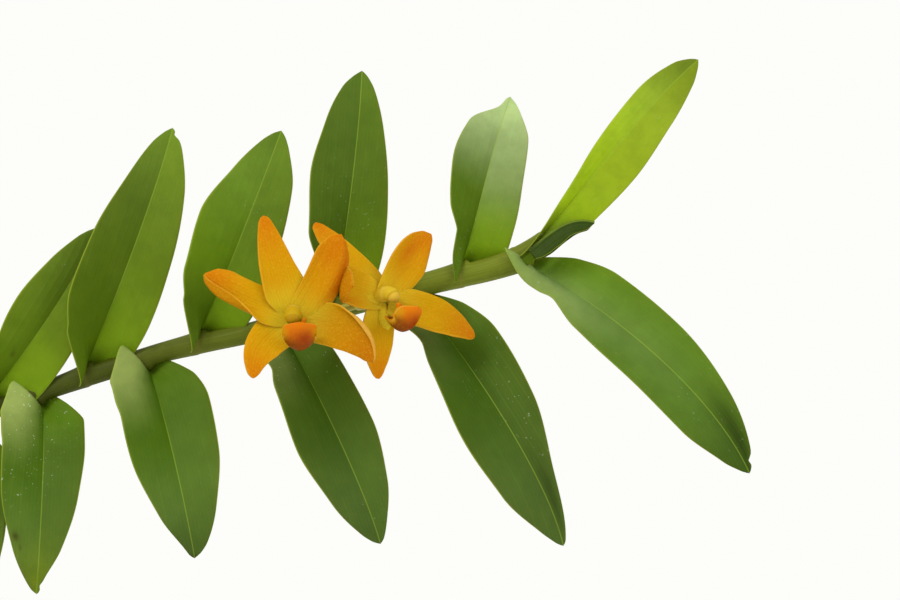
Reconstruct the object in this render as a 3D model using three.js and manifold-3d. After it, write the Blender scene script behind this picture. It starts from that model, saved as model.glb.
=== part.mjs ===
// A potted Dendrobium aurifex: one long arching cane in leaf and flower, an old bare cane, a young
// leafy cane and a new shoot, all on one rhizome in a clay pot of bark.
// Millimetres, +Z up. The origin is the middle of the pot's underside.
import * as THREE from 'three';
import { mergeVertices } from 'three/addons/utils/BufferGeometryUtils.js';
import Module from 'manifold-3d';

const wasm = await Module();
wasm.setup();

// Driving dimensions
const GAP = 0.3;                       // left between any two pieces
const BLADE = 0.8;                     // thickness of leaves, petals and lips
const DEGREES = Math.PI / 180;

const POT = {
  height: 95, mouthRadius: 55, footRadius: 38, rimHeight: 14, rimProud: 2.6, wall: 4.5, floor: 6,
  edge: 1, sides: 40, holes: 4, holeRadius: 4.5, holeCircle: 20, holeSides: 20,
};
const BARK = {
  top: 82, room: GAP + 0.1, sides: 20, seed: 11, chips: 22, chipMargin: 8, chipTurn: 137.5, chipTilt: 0.4,
  chipLength: [8, 14], chipWidth: [5, 9], chipThickness: [3.4, 6], chipLift: [-0.8, 0.6],
};

// The slope of a cane, in degrees above level, and its radius, at lengths along it from its foot.
const MAIN_CANE = {
  foot: [-10, 0, 84], heading: 0, length: 346, sides: 12, steps: 48,
  slopes: [[0, 86], [40, 80], [90, 62], [140, 42], [190, 26], [228, 19.5], [250, 18.5],
    [269, 12.5], [287, 15], [308, 16], [327, 13], [335, 20], [341, 34], [352, 38]],
  radii: [[0, 2.7], [8, 1.8], [210, 1.8], [240, 2], [300, 2.15], [320, 2.4], [337, 2.4], [346, 1.4]],
  bareJoints: [22, 48, 74, 98, 120, 141],
};
const OLD_CANE = {
  foot: [-34, -5, 84], heading: 212, length: 150, sides: 8, steps: 34,
  slopes: [[0, 84], [60, 72], [110, 58], [150, 44]],
  radii: [[0, 2.8], [8, 1.9], [70, 2.2], [140, 1.7], [150, 0.8]],
  bareJoints: [24, 46, 68, 88, 106, 122, 136],
};
const YOUNG_CANE = {
  foot: [9, 9, 84], heading: 74, length: 166, sides: 8, steps: 18,
  slopes: [[0, 84], [60, 76], [120, 62], [166, 54]],
  radii: [[0, 2.6], [8, 1.7], [90, 1.9], [160, 1.5], [166, 0.9]],
  leafStations: [74, 90, 105, 119, 133, 146, 157], longestLeaf: 44,
};
const SHOOT = {
  foot: [24, 17, 84], heading: 38, length: 30, sides: 8, steps: 6,
  slopes: [[0, 70], [15, 78], [30, 84]],
  radii: [[0, 2.3], [10, 2.1], [24, 1.6], [30, 0.7]],
  leafStations: [14, 22], longestLeaf: 20,
};
const JOINT = { reach: 2.4, leafy: 0.12, bare: 0.45, belowLeaf: 3 };   // a cane's swelling at a joint
const CANE_FOOT = { length: 13, steps: 3 };   // the stretch that bark and rhizome fit around
const RHIZOME = {
  path: [[-42, -8, 79.6], [-34, -5, 80.9], [-10, 0, 80.7], [9, 9, 80.8], [24, 17, 80.9], [31, 21, 79.8]],
  radius: 2.8, waist: 0.78, swellings: 5, endTaper: 0.1, steps: 18, sides: 8,
};
const ROOTS = [
  [[-36, -6, 80], [-40, -16, 82.5], [-34, -29, 83], [-22, -38, 80]],
  [[-12, 0, 80], [-16, 12, 82.5], [-27, 23, 83], [-36, 30, 79.5]],
  [[-6, 0, 80], [2, -12, 83], [15, -22, 82.5], [27, -33, 79.5]],
  [[12, 10, 80], [22, 4, 82.5], [34, -4, 83], [42, -14, 79.5]],
  [[6, 9, 80], [0, 20, 82.8], [4, 32, 83], [14, 42, 79.5]],
];
const ROOT = { radius: 1.15, taper: 0.35, steps: 7, sides: 6 };

// Where along a blade its values are given, as shares of its length.
const WIDTH_AT = [0, 0.08, 0.25, 0.5, 0.75, 0.92, 1];
const TURN_AT = [0, 0.08, 0.22, 0.6, 1];
const FOLD_AT = [0, 0.05, 0.15, 0.5, 1];
const CURL_AT = [0, 0.2, 0.5, 1];
const LEAF_ROWS = [0, 0.04, 0.09, 0.17, 0.3, 0.46, 0.62, 0.78, 0.91, 1];
const LEAF_COLUMNS = 8;
const SMALL_LEAF_ROWS = [0, 0.12, 0.36, 0.64, 0.88, 1];
const SMALL_LEAF_COLUMNS = 4;
const TEPAL_ROWS = [0, 0.1, 0.26, 0.45, 0.65, 0.85, 1];
const TEPAL_COLUMNS = 4;
const LIP_COLUMNS = 8;
const TIP_WIDTH = 0.5;                 // half the width where a blade ends
const HUG_ROOM = 0.25;                 // a clasping base stands off the cane by this much more than GAP
const HUG_ARC = 4.6;                   // a clasping base wraps the cane for this length, then runs straight
const CLASP_SHARE = 0.12;              // of a leaf's length over which it opens from the cane

// Leaves of the main cane, in order from its foot. A leaf sits `at` a length along the cane, on its
// upper (row 1) or lower (row -1) side. `tip` and `belly` are offsets from its base. `near` and
// `far` are its half widths at the inner WIDTH_AT shares, toward -Y and away from it at the base, and
// `hug` its half widths where it clasps the cane. Its near edge sweeps back there by `lobe`: `lobeOver`
// has the share of it at the base, then the shares of the leaf's length where it peaks and fades out.
const UPPER = { row: 1, hug: [6.2, 5], lobe: 2.8, lobeOver: [1, 0.02, 0.14] };
const LOWER = { row: -1, hug: [8.6, 5], lobe: 3.7, lobeOver: [0.78, 0.04, 0.28] };
const MAIN_LEAVES = [
  { ...UPPER, at: 162.5, tip: [8, -5, 50], belly: [8, -10, 33],
    near: [5, 8.5, 8.8, 6.5, 3.4], far: [8, 9, 8.8, 6.6, 3.4] },
  { ...LOWER, at: 171, tip: [8, -6, -47], belly: [12, -16, -30],
    near: [8, 9.4, 9.2, 6.4, 2.8], far: [8, 9.4, 9, 6.2, 2.6] },
  { ...UPPER, at: 182, tip: [12, -3, 49], belly: [10, -8, 33],
    near: [5, 8.8, 9, 6.6, 3.4], far: [8, 9.4, 9, 6.8, 3.4] },
  { ...LOWER, at: 193, tip: [5, -5, -46], belly: [9, -16, -30], hug: [7.6, 5],
    near: [8, 9.6, 9.4, 6.6, 2.8], far: [8.4, 9.6, 9, 6.2, 2.6] },
  { ...UPPER, at: 206, tip: [14, -4, 47], belly: [12, -9, 31],
    near: [5, 9, 8.8, 6.5, 3.4], far: [8.4, 9.6, 9.4, 7, 3.4] },
  { ...LOWER, at: 214, tip: [2, -6, -42], belly: [5, -17, -28],
    near: [8.6, 9.6, 9.2, 6.2, 2.6], far: [9, 9.6, 8.6, 5.6, 2] },
  { ...UPPER, at: 226, tip: [20.1, -2, 34.5], belly: [17.5, -4, 23.5], hug: [5, 5],
    near: [4.8, 7.2, 8.3, 6.2, 3.2], far: [8, 8.6, 8, 6.2, 3.2] },
  { ...LOWER, at: 232.9, tip: [0, -5, -39], belly: [2, -18, -27],
    near: [9.2, 10.2, 9, 5.8, 2.4], far: [8.6, 8.8, 7.6, 4.6, 1.2] },
  { ...UPPER, at: 244.7, tip: [18.4, -4, 49], belly: [15, -8, 33],
    near: [8.2, 11.2, 9.8, 6.6, 3.4], far: [8, 9.2, 8.6, 6.5, 3.2] },
  { ...LOWER, at: 256.5, tip: [10.5, -5, -39], belly: [9, -18, -26],
    near: [9.2, 10.8, 9.3, 5.8, 2], far: [8.2, 10.4, 9.6, 6.6, 3.2] },
  { ...UPPER, at: 269.2, tip: [17.2, 0, 42], belly: [13, -5, 29],
    near: [7.6, 10.6, 10.6, 6.9, 3.2], far: [8.2, 9.2, 8.4, 6.6, 3] },
  { ...LOWER, at: 286, tip: [20.5, -5, -43], belly: [17, -18, -30], lobeOver: [0.8, 0.04, 0.18],
    near: [7.2, 9.6, 9.8, 7.2, 3.3], far: [7, 7.8, 8.1, 5.9, 2.4] },
  { ...UPPER, at: 298.1, tip: [6.3, 3, 48], belly: [6, 0, 33],
    near: [6.4, 9.8, 9.7, 7.3, 4], far: [7.9, 8.7, 7.7, 5.4, 2.8] },
  { ...LOWER, at: 315, tip: [30.5, -5, -51], belly: [26, -18, -33], lobeOver: [0.8, 0.04, 0.18],
    near: [6.2, 9, 10.7, 8.8, 3.8], far: [6.5, 9.3, 8, 3.8, 1.7] },
  { ...UPPER, at: 326.2, tip: [10.6, 12, 36], belly: [6.8, 4, 25.5], hug: [7, 5],
    near: [3.8, 7.6, 8.8, 7.1, 1.4], far: [8.4, 8.6, 7.8, 6.6, 3] },
  { ...LOWER, at: 339, tip: [45.6, -4, -43], belly: [34.5, -12, -20], fold: [10, 18, 16, 14, 8],
    hug: [9, 5], lobe: 3.2, lobeOver: [1, 0.02, 0.14],
    near: [2.6, 6.2, 8, 7.6, 4], far: [6, 8.4, 8, 5.8, 2.8] },
  { ...UPPER, at: 346, from: [-5.9, -4.3, -4.8], tip: [37.3, 3, 42.3], belly: [24, 0.8, 31],
    hug: [0.8, 2], lobe: 0, clasp: 0, lead: 5, look: 'young_leaf',
    near: [1, 2.2, 3.9, 4.7, 3], far: [2.6, 6.3, 7.4, 5.8, 3.2] },
];
// How a leaf leaves the cane: the length of its lead, then its turn, fold and curl along it.
const LEAF_FORM = { lead: 1.6, turn: [60, 66, 72, 80, 85], fold: [20, 30, 28, 16, 8], curl: [0, 0, 0, 0] };

// The last leaf is still folded shut. It rises in front of the cane's end, `from` away from its middle.
const FOLDED_LEAF = {
  from: [-4.2, -6, -3.6], row: 1, lead: 4, tip: [13.4, -1.5, 5.8], belly: [7.4, -1, 7.6],
  near: [2.8, 3.2, 3, 2.4, 1.8], far: [2.8, 3.2, 3, 2.4, 1.8], hug: [2.2, 2.2], clasp: 0, lobe: 0,
  turn: [8, 8, 8, 8, 8], fold: [70, 72, 74, 76, 76], curl: [0, 0, 0, 0], columns: 6,
};

// Leaves of the young cane and the shoot. Offsets run along the cane, away from it and to its side,
// as shares of the leaf's length; half widths are shares of the largest. Their lengths follow half a
// wave from `first` on, over `spread` of it.
const SMALL_LEAF = {
  tip: [0.62, 0.72, 0.06], belly: [0.5, 0.4, 0.16], half: [0.6, 0.95, 1, 0.72, 0.36],
  halfOfLength: 0.19, rootHalf: 1.6, first: 0.32, spread: 0.52,
};

// Flowers. Places of tepals, chin, column and lip are offsets from the flower's centre.
const FLOWERS = {
  left: {
    centre: [177.65, -21.6, 268.2], faces: [0.1, -1, 0.1], chin: [1, 1.5, -6.2],
    tepals: {
      dorsalSepal: { tip: [-6.8, -1, 20.5], belly: [-4.3, -3, 13.5],
        near: [3.4, 5, 4.4, 3, 1.6], far: [3.2, 4, 3, 2.1, 1.3] },
      rightPetal: { tip: [9.1, -3, 16.5], belly: [6.5, -2.5, 11],
        near: [2.6, 2.6, 2.8, 3.1, 1.9], far: [3.5, 4.7, 4.7, 3.9, 2.2] },
      leftPetal: { tip: [-18.6, -2, 8.4], belly: [-12.5, -3, 3.5],
        near: [3, 3.6, 3.3, 2.9, 1.9], far: [2.8, 3.4, 3.9, 4, 2.8] },
      leftSepal: { tip: [-8.4, -6, -13.1], belly: [-9.2, -3.5, -6.5], start: [-1, 0, -1],
        near: [3.4, 4.4, 4.2, 2.8, 1.5], far: [3.4, 4, 3.4, 2.3, 1.3] },
      rightSepal: { tip: [15.6, -2, -9.6], belly: [12.2, -3, -2.5], start: [1, 0, -1],
        near: [3.4, 4.5, 3.9, 3, 1.6], far: [3.4, 4.4, 4.2, 3, 1.5] },
    },
    column: { from: [-0.4, -0.6, 0], over: [-0.5, -4.2, 1.6], to: [-0.5, -5.4, -2] },
    lip: { base: [0.6, -1.4, -4.4], belly: [1, -6.4, -9.8], tip: [1.2, -8.4, -2],
      near: [3, 4.3, 5.2, 5.2, 4], far: [3, 4.3, 5.2, 5.4, 4.4],
      curl: [0.1, 0.2, 0.26, 0.26], end: 2.6 },
  },
  right: {
    centre: [195.4, -15, 272.3], faces: [0.6, -0.8, 0.1], chin: [1, 0.5, -6],
    tepals: {
      dorsalSepal: { tip: [-14.2, 5, 16.2], belly: [-9.5, -1, 10.2], near: [3.2, 3.8, 3.4, 2.6, 1.5] },
      rightPetal: { tip: [9.7, 6, 14], belly: [7, 1, 9],
        near: [2.8, 4.2, 5.4, 4.1, 2.2], far: [2.8, 3.4, 3.8, 2.5, 1.3] },
      leftPetal: { tip: [-6, -9.5, 1.8], belly: [-12, -6, 3.6],
        near: [2.8, 3.6, 4, 3.9, 2.9], far: [2.8, 3.6, 4.4, 4, 2.6] },
      leftSepal: { tip: [-1, 2, -16.4], belly: [-1.5, 1, -11], start: [-0.5, 0, -1],
        near: [3, 3.7, 3.6, 2.7, 1.4], far: [3.4, 4.2, 3.7, 2.7, 1.4] },
      rightSepal: { tip: [18.8, 4, -7.7], belly: [12.5, 1, -2.6], start: [1, 0, -1],
        near: [3.2, 4, 3.8, 2.7, 1.4], far: [3, 3.9, 4.3, 3.2, 1.5] },
    },
    column: { from: [-1, -0.4, 0.2], over: [1.4, -2.8, 1.8], to: [2.6, -4, -0.6] },
    lip: { base: [1.5, -1.8, -4], belly: [4.6, -5.4, -9.4], tip: [7.3, -6.6, -2.2],
      near: [2.2, 3.4, 4.5, 4.4, 3.4], far: [2.6, 3.8, 4.4, 3.8, 2.4],
      curl: [0.14, 0.26, 0.32, 0.3], end: 1.6 },
  },
};
const TEPAL = { base: 2.2, lead: 0.5, curl: [0, 0.05, 0.06, 0.03], end: 0.9 };
const LIP = { root: 1.6, lead: 0.55, fold: [5, 8, 8, 8, 5], roomBack: 0.2 };
const COLUMN = { radii: [[0, 1.3], [0.5, 1.6], [0.85, 1.55], [1, 0.8]], steps: 6, sides: 8 };
const DROP = { ends: 0.6, sides: 8, rings: 6 };          // `ends` is a share of the drop's radius
const HEART = { radius: 2.3, behind: 1.5, half: 0.6 };   // the flower's base, behind its centre
const CHIN_RADIUS = 1.7;
const STALKS = {
  at: 306.5, off: 0.35, fork: [-0.6, -3, -0.8], straight: 5, sides: 6, steps: 8,
  radii: [[0, 1.2], [0.25, 0.9], [0.6, 0.9], [0.9, 1.35], [1, 1.35]],
};

const LOOKS = {
  leaf: { color: 0x4f7d2c, roughness: 0.45 },
  young_leaf: { color: 0x8aa81e, roughness: 0.45 },
  cane: { color: 0x6f7f38, roughness: 0.5 },
  old_cane: { color: 0xb09a6a, roughness: 0.75 },
  petal: { color: 0xdc9a12, roughness: 0.5 },
  lip: { color: 0xe8720a, roughness: 0.45 },
  column: { color: 0xc8c060, roughness: 0.5 },
  stalk: { color: 0xa8a83c, roughness: 0.5 },
  root: { color: 0xb9b39c, roughness: 0.8 },
  bark: { color: 0x6b4126, roughness: 0.95 },
  clay: { color: 0xb5623c, roughness: 0.9 },
};

// Small helpers
const vector = (list) => new THREE.Vector3(...list);

const smooth = (a, b, t) => {
  const x = THREE.MathUtils.clamp((t - a) / (b - a), 0, 1);
  return x * x * (3 - 2 * x);
};

/** A smooth curve through values at stations that never swings past them. */
function through(stations, values) {
  const last = stations.length - 1;
  const rise = stations.slice(1).map((x, i) => (values[i + 1] - values[i]) / (x - stations[i]));
  const slope = stations.map((x, i) => {
    if (i === 0) return rise[0];
    if (i === last) return rise[last - 1];
    const product = rise[i - 1] * rise[i];
    return product <= 0 ? 0 : (2 * product) / (rise[i - 1] + rise[i]);
  });
  return (t) => {
    let k = 0;
    while (k < last - 1 && t > stations[k + 1]) k += 1;
    const span = stations[k + 1] - stations[k];
    const x = THREE.MathUtils.clamp((t - stations[k]) / span, 0, 1);
    const rest = 1 - x;
    return values[k] * rest * rest * (1 + 2 * x) + values[k + 1] * x * x * (3 - 2 * x)
      + span * (slope[k] * x * rest * rest - slope[k + 1] * x * x * rest);
  };
}

const throughPairs = (pairs) => through(pairs.map((p) => p[0]), pairs.map((p) => p[1]));

/** Repeatable random numbers from 0 to 1. */
function seeded(seed) {
  let state = seed;
  return () => {
    state = (state * 1664525 + 1013904223) % 4294967296;
    return state / 4294967296;
  };
}

// Solids
/** Turns a closed geometry into a solid that can be joined and cut. */
function toSolid(geometry) {
  const bare = geometry.clone();
  for (const name of Object.keys(bare.attributes)) if (name !== 'position') bare.deleteAttribute(name);
  const merged = mergeVertices(bare, 1e-4);
  return new wasm.Manifold(new wasm.Mesh({
    numProp: 3,
    vertProperties: new Float32Array(merged.attributes.position.array),
    triVerts: new Uint32Array(merged.index.array),
  }));
}

function toGeometry(solid) {
  const mesh = solid.getMesh();
  const geometry = new THREE.BufferGeometry();
  geometry.setAttribute('position', new THREE.BufferAttribute(mesh.vertProperties, 3));
  geometry.setIndex(new THREE.BufferAttribute(mesh.triVerts, 1));
  geometry.computeVertexNormals();
  return geometry;
}

const fuse = (solids) => solids.reduce((sum, solid) => sum.add(solid));

/** The largest body of a solid, without loose scraps. */
const largest = (solid) => solid.decompose().reduce((a, b) => (a.volume() > b.volume() ? a : b));

/** A solid cut clear of another, or as it is where the two don't meet. */
function cutClear(solid, other) {
  const meets = solid.intersect(other).volume() > 1e-3;
  return meets ? largest(solid.subtract(other)) : solid;
}

/** A closed tube: a capped cylinder whose rings are moved along a path. */
function tube({ point, direction, radius, steps, sides, side = new THREE.Vector3(0, 1, 0) }) {
  const geometry = new THREE.CylinderGeometry(1, 1, 1, sides, steps);
  const place = geometry.attributes.position;
  const corner = new THREE.Vector3();
  for (let i = 0; i < place.count; i += 1) {
    corner.fromBufferAttribute(place, i);
    const t = THREE.MathUtils.clamp(corner.y + 0.5, 0, 1);
    const along = direction(t);
    const across = side.clone().addScaledVector(along, -side.dot(along)).normalize();
    const third = across.clone().cross(along);
    const r = radius(t);
    const [x, z] = [place.getX(i) * r, place.getZ(i) * r];
    corner.copy(point(t)).addScaledVector(across, x).addScaledVector(third, z);
    place.setXYZ(i, corner.x, corner.y, corner.z);
  }
  return geometry;
}

const tubeOnCurve = (curve, radius, steps, sides) => tube({
  point: (t) => curve.getPointAt(t), direction: (t) => curve.getTangentAt(t), radius, steps, sides,
});

// Canes
/** A cane bends in one upright plane. Its slope is given at lengths along it. */
function bendCane(cane) {
  const slopeAt = throughPairs(cane.slopes);
  const radiusAt = throughPairs(cane.radii);
  const level = new THREE.Vector3(Math.cos(cane.heading * DEGREES), Math.sin(cane.heading * DEGREES), 0);
  const toward = (s) => {
    const slope = slopeAt(s) * DEGREES;
    return level.clone().multiplyScalar(Math.cos(slope)).setZ(Math.sin(slope));
  };
  const track = [vector(cane.foot)];
  const reach = Math.ceil(cane.length) + 2;
  for (let s = 0; s < reach; s += 1) track.push(track[s].clone().add(toward(s + 0.5)));
  return {
    ...cane,
    radiusAt,
    direction: toward,
    side: new THREE.Vector3(level.y, -level.x, 0),
    upward: (s) => {
      const slope = slopeAt(s) * DEGREES;
      return level.clone().multiplyScalar(-Math.sin(slope)).setZ(Math.cos(slope));
    },
    point: (s) => track[Math.floor(s)].clone().lerp(track[Math.floor(s) + 1], s - Math.floor(s)),
  };
}

function caneGeometry(cane, extra = 0, swelling = () => 0) {
  return tube({
    point: (t) => cane.point(t * cane.length),
    direction: (t) => cane.direction(t * cane.length),
    radius: (t) => cane.radiusAt(t * cane.length) + swelling(t * cane.length) + extra,
    side: cane.side,
    steps: cane.steps,
    sides: cane.sides,
  });
}

/** Rings that stand out a little at each joint of a cane. */
const jointRings = (stations, height) => (s) => stations.reduce(
  (sum, at) => sum + height * Math.exp(-(((s - at) / JOINT.reach) ** 2)), 0);

// Blades
/** How far a section runs sideways and upward over a length, starting at an angle with a curvature. */
function arc(angle, bend, length) {
  const k = Math.abs(bend) < 1e-6 ? 1e-6 : bend;
  const end = angle + k * length;
  return [(Math.sin(end) - Math.sin(angle)) / k, (Math.cos(angle) - Math.cos(end)) / k];
}

/** A section that wraps the cane for HUG_ARC and then runs straight. */
function wrap(clasp, length) {
  const wrapped = Math.min(length, HUG_ARC);
  const [x1, y1] = arc(0, clasp, wrapped);
  const [x2, y2] = arc(clasp * wrapped, 0, length - wrapped);
  return [x1 + x2, y1 + y2];
}

/** The two directions square to a midrib: to the blade's side, and out of its face. */
function squareTo(along, { reference, row }) {
  const side = reference.clone().addScaledVector(along, -reference.dot(along)).normalize();
  return { side, face: along.clone().cross(side).multiplyScalar(row) };
}

/** How far a leaf's near edge sweeps back at a share of its length. */
function lobeSweep({ lobe, lobeOver: [start, peak, end] }, u) {
  return lobe * (start + (1 - start) * smooth(0, peak, u)) * (1 - smooth(peak, end, u));
}

/** The middle surface of a blade, as rows of points along its length. */
function bladeGrid(form, rows, columns) {
  const [p0, p1, p2, p3] = form.points;
  const midrib = new THREE.CubicBezierCurve3(p0, p1, p2, p3);
  const end = form.end ?? TIP_WIDTH;
  const nearAt = through(WIDTH_AT, [form.hug[0], ...form.near, end]);
  const farAt = through(WIDTH_AT, [form.hug[1], ...form.far, end]);
  const turnAt = through(TURN_AT, form.turn);
  const foldAt = through(FOLD_AT, form.fold);
  const curlAt = through(CURL_AT, form.curl);
  const start = midrib.getTangentAt(0);
  const base = squareTo(start, form);
  return rows.map((u) => {
    const { side, face } = squareTo(midrib.getTangentAt(u), form);
    const turn = turnAt(u) * DEGREES;
    const across = side.clone().multiplyScalar(Math.cos(turn)).addScaledVector(face, -Math.sin(turn));
    const normal = face.clone().multiplyScalar(Math.cos(turn)).addScaledVector(side, Math.sin(turn));
    const opened = form.clasp ? smooth(0, CLASP_SHARE, u) : 1;
    const sweep = form.lobe ? lobeSweep(form, u) : 0;
    return Array.from({ length: columns + 1 }, (_, i) => {
      const w = (2 * i) / columns - 1;
      const half = Math.abs(w) * (w >= 0 ? nearAt(u) : farAt(u));
      const [x, y] = arc(foldAt(u) * DEGREES, curlAt(u), half);
      const [x0, y0] = wrap(form.clasp, half);
      const open = across.clone().multiplyScalar(Math.sign(w) * x).addScaledVector(normal, y);
      const held = base.side.clone().multiplyScalar(Math.sign(w) * x0).addScaledVector(base.face, y0);
      return held.lerp(open, opened).add(midrib.getPointAt(u))
        .addScaledVector(start, -sweep * Math.max(w, 0) ** 2);
    });
  });
}

/** Normals of a grid of points, from its neighbouring points. */
function gridNormals(grid) {
  const last = grid.length - 1;
  const edge = grid[0].length - 1;
  return grid.map((row, i) => row.map((_, j) => {
    const along = grid[Math.min(i + 1, last)][j].clone().sub(grid[Math.max(i - 1, 0)][j]);
    const across = row[Math.min(j + 1, edge)].clone().sub(row[Math.max(j - 1, 0)]);
    return across.cross(along).normalize();
  }));
}

/** A closed blade: one plane's triangles for its upper face, the same for its lower face, and a rim. */
function bladeGeometry(grid, thickness = BLADE) {
  const rows = grid.length;
  const columns = grid[0].length;
  const plane = new THREE.PlaneGeometry(1, 1, columns - 1, rows - 1);
  const faces = Array.from(plane.index.array);
  const normals = gridNormals(grid);
  const count = rows * columns;
  const corners = [];
  for (const sign of [1, -1]) {
    grid.forEach((row, i) => row.forEach((p, j) => {
      corners.push(...p.clone().addScaledVector(normals[i][j], (sign * thickness) / 2).toArray());
    }));
  }
  const index = [];
  for (let k = 0; k < faces.length; k += 3) {
    const [a, b, c] = faces.slice(k, k + 3);
    index.push(a, b, c, a + count, c + count, b + count);
  }
  const rim = [];
  for (let j = 0; j < columns - 1; j += 1) rim.push(j);
  for (let i = 0; i < rows - 1; i += 1) rim.push(i * columns + columns - 1);
  for (let j = columns - 1; j > 0; j -= 1) rim.push((rows - 1) * columns + j);
  for (let i = rows - 1; i > 0; i -= 1) rim.push(i * columns);
  rim.forEach((a, k) => {
    const b = rim[(k + 1) % rim.length];
    index.push(a, b, b + count, a, b + count, a + count);
  });
  return closedOutward(corners, index);
}

/** Builds the geometry and turns its triangles over if they face inward. */
function closedOutward(corners, index) {
  let volume = 0;
  const at = (i) => new THREE.Vector3().fromArray(corners, 3 * i);
  for (let k = 0; k < index.length; k += 3) {
    volume += at(index[k]).dot(at(index[k + 1]).cross(at(index[k + 2])));
  }
  if (volume < 0) index.reverse();
  const geometry = new THREE.BufferGeometry();
  geometry.setAttribute('position', new THREE.Float32BufferAttribute(corners, 3));
  geometry.setIndex(index);
  geometry.computeVertexNormals();
  return geometry;
}

/** Points that steer a midrib: it leaves its base along the cane and ends at its tip. */
function midribPoints(base, direction, { lead, belly, tip }) {
  const from = (offset) => base.clone().add(vector(offset));
  return [base, base.clone().addScaledVector(direction, lead), from(belly), from(tip)];
}

/** A leaf's form on its cane. */
function leafForm(cane, leaf) {
  const form = { ...LEAF_FORM, ...leaf };
  const reach = cane.radiusAt(leaf.at) + GAP + HUG_ROOM + BLADE / 2;
  const stand = leaf.from ? vector(leaf.from) : cane.upward(leaf.at).multiplyScalar(leaf.row * reach);
  const base = cane.point(leaf.at).add(stand);
  return {
    clasp: 1 / reach,
    ...form,
    points: midribPoints(base, cane.direction(leaf.at), form),
    reference: cane.side,
  };
}

/** The form of a leaf of the young cane or the shoot, whose base is sunk in its stem. */
function smallLeafForm(cane, at, row, length) {
  const away = cane.upward(at).multiplyScalar(row);
  const place = ([x, y, z]) => cane.direction(at).multiplyScalar(x * length)
    .addScaledVector(away, y * length).addScaledVector(cane.side, z * length).toArray();
  const half = SMALL_LEAF.half.map((share) => share * SMALL_LEAF.halfOfLength * length);
  const leaf = { at, row, tip: place(SMALL_LEAF.tip), belly: place(SMALL_LEAF.belly), near: half, far: half };
  const root = [SMALL_LEAF.rootHalf, SMALL_LEAF.rootHalf];
  return { ...leafForm(cane, { ...leaf, lobe: 0 }), clasp: 0, hug: root };
}

// Pieces
const group = new THREE.Group();
group.name = 'potted_dendrobium_aurifex';

function addPiece(name, geometry, look) {
  const mesh = new THREE.Mesh(geometry, new THREE.MeshStandardMaterial({ ...LOOKS[look], name: look }));
  mesh.name = name;
  group.add(mesh);
}

const mainCane = bendCane(MAIN_CANE);
const oldCane = bendCane(OLD_CANE);
const youngCane = bendCane(YOUNG_CANE);
const shoot = bendCane(SHOOT);

/** The foot of every cane, a little thicker by `extra`. */
const caneFeet = (extra) => [mainCane, oldCane, youngCane, shoot]
  .map((cane) => toSolid(caneGeometry({ ...cane, ...CANE_FOOT }, extra)));

function addCanes() {
  const leafJoints = MAIN_LEAVES.map((leaf) => leaf.at - JOINT.belowLeaf);
  const mainRings = jointRings([...MAIN_CANE.bareJoints, ...leafJoints], JOINT.leafy);
  addPiece('main_cane', caneGeometry(mainCane, 0, mainRings), 'cane');
  addPiece('old_cane', caneGeometry(oldCane, 0, jointRings(OLD_CANE.bareJoints, JOINT.bare)), 'old_cane');
}

function addMainLeaves() {
  const clearance = toSolid(caneGeometry(mainCane, GAP));
  MAIN_LEAVES.forEach((leaf, i) => {
    const blade = toSolid(bladeGeometry(bladeGrid(leafForm(mainCane, leaf), LEAF_ROWS, LEAF_COLUMNS)));
    const number = String(i + 1).padStart(2, '0');
    addPiece(`leaf_${number}`, toGeometry(cutClear(blade, clearance)), leaf.look ?? 'leaf');
  });
}

/** A leaf folded along its midrib, as two halves that are fused there. */
function addFoldedLeaf() {
  const leaf = FOLDED_LEAF;
  const base = mainCane.point(MAIN_CANE.length).add(vector(leaf.from));
  const points = midribPoints(base, mainCane.direction(MAIN_CANE.length), leaf);
  const grid = bladeGrid({ ...leaf, reference: mainCane.side, points }, SMALL_LEAF_ROWS, leaf.columns);
  const middle = leaf.columns / 2;
  const half = (from, to) => toSolid(bladeGeometry(grid.map((row) => row.slice(from, to + 1))));
  addPiece('leaf_18_folded', toGeometry(half(0, middle).add(half(middle, leaf.columns))), 'leaf');
}

/** A stem with two rows of leaves, fused into one body. */
function leafyStem(cane) {
  const stem = toSolid(caneGeometry(cane));
  const leaves = cane.leafStations.map((at, i) => {
    const wave = SMALL_LEAF.first + (SMALL_LEAF.spread * i) / cane.leafStations.length;
    const form = smallLeafForm(cane, at, i % 2 ? -1 : 1, cane.longestLeaf * Math.sin(Math.PI * wave));
    form.points[0] = cane.point(at);
    return toSolid(bladeGeometry(bladeGrid(form, SMALL_LEAF_ROWS, SMALL_LEAF_COLUMNS)));
  });
  return toGeometry(largest(fuse([stem, ...leaves])));
}

/** One tepal of a flower, which opens toward the way the flower faces. */
function tepal(flower, petal) {
  const centre = vector(flower.centre);
  const start = vector(petal.start ?? [0, 0, 0]);
  const belly = vector(petal.belly);
  const facing = vector(flower.faces).normalize();
  const lead = start.clone().lerp(belly, TEPAL.lead);
  return toSolid(bladeGeometry(bladeGrid({
    points: [start, lead, belly, vector(petal.tip)].map((p) => p.clone().add(centre)),
    row: 1,
    reference: facing.cross(vector(petal.tip)).normalize(),
    near: petal.near,
    far: petal.far ?? petal.near,
    hug: [TEPAL.base, TEPAL.base],
    turn: [0, 0, 0, 0, 0],
    fold: [0, 0, 0, 0, 0],
    curl: TEPAL.curl,
    clasp: 0,
    lobe: 0,
    end: TEPAL.end,
  }, TEPAL_ROWS, TEPAL_COLUMNS)));
}

/** A drop shape from one point to another, for a flower's heart and chin. */
function drop(from, to, radius) {
  const reach = to.clone().sub(from);
  const upright = new THREE.Vector3(0, 1, 0);
  const geometry = new THREE.SphereGeometry(1, DROP.sides, DROP.rings);
  geometry.scale(radius, reach.length() / 2 + radius * DROP.ends, radius);
  geometry.applyQuaternion(new THREE.Quaternion().setFromUnitVectors(upright, reach.normalize()));
  return geometry.translate(...from.clone().lerp(to, 0.5).toArray());
}

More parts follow.
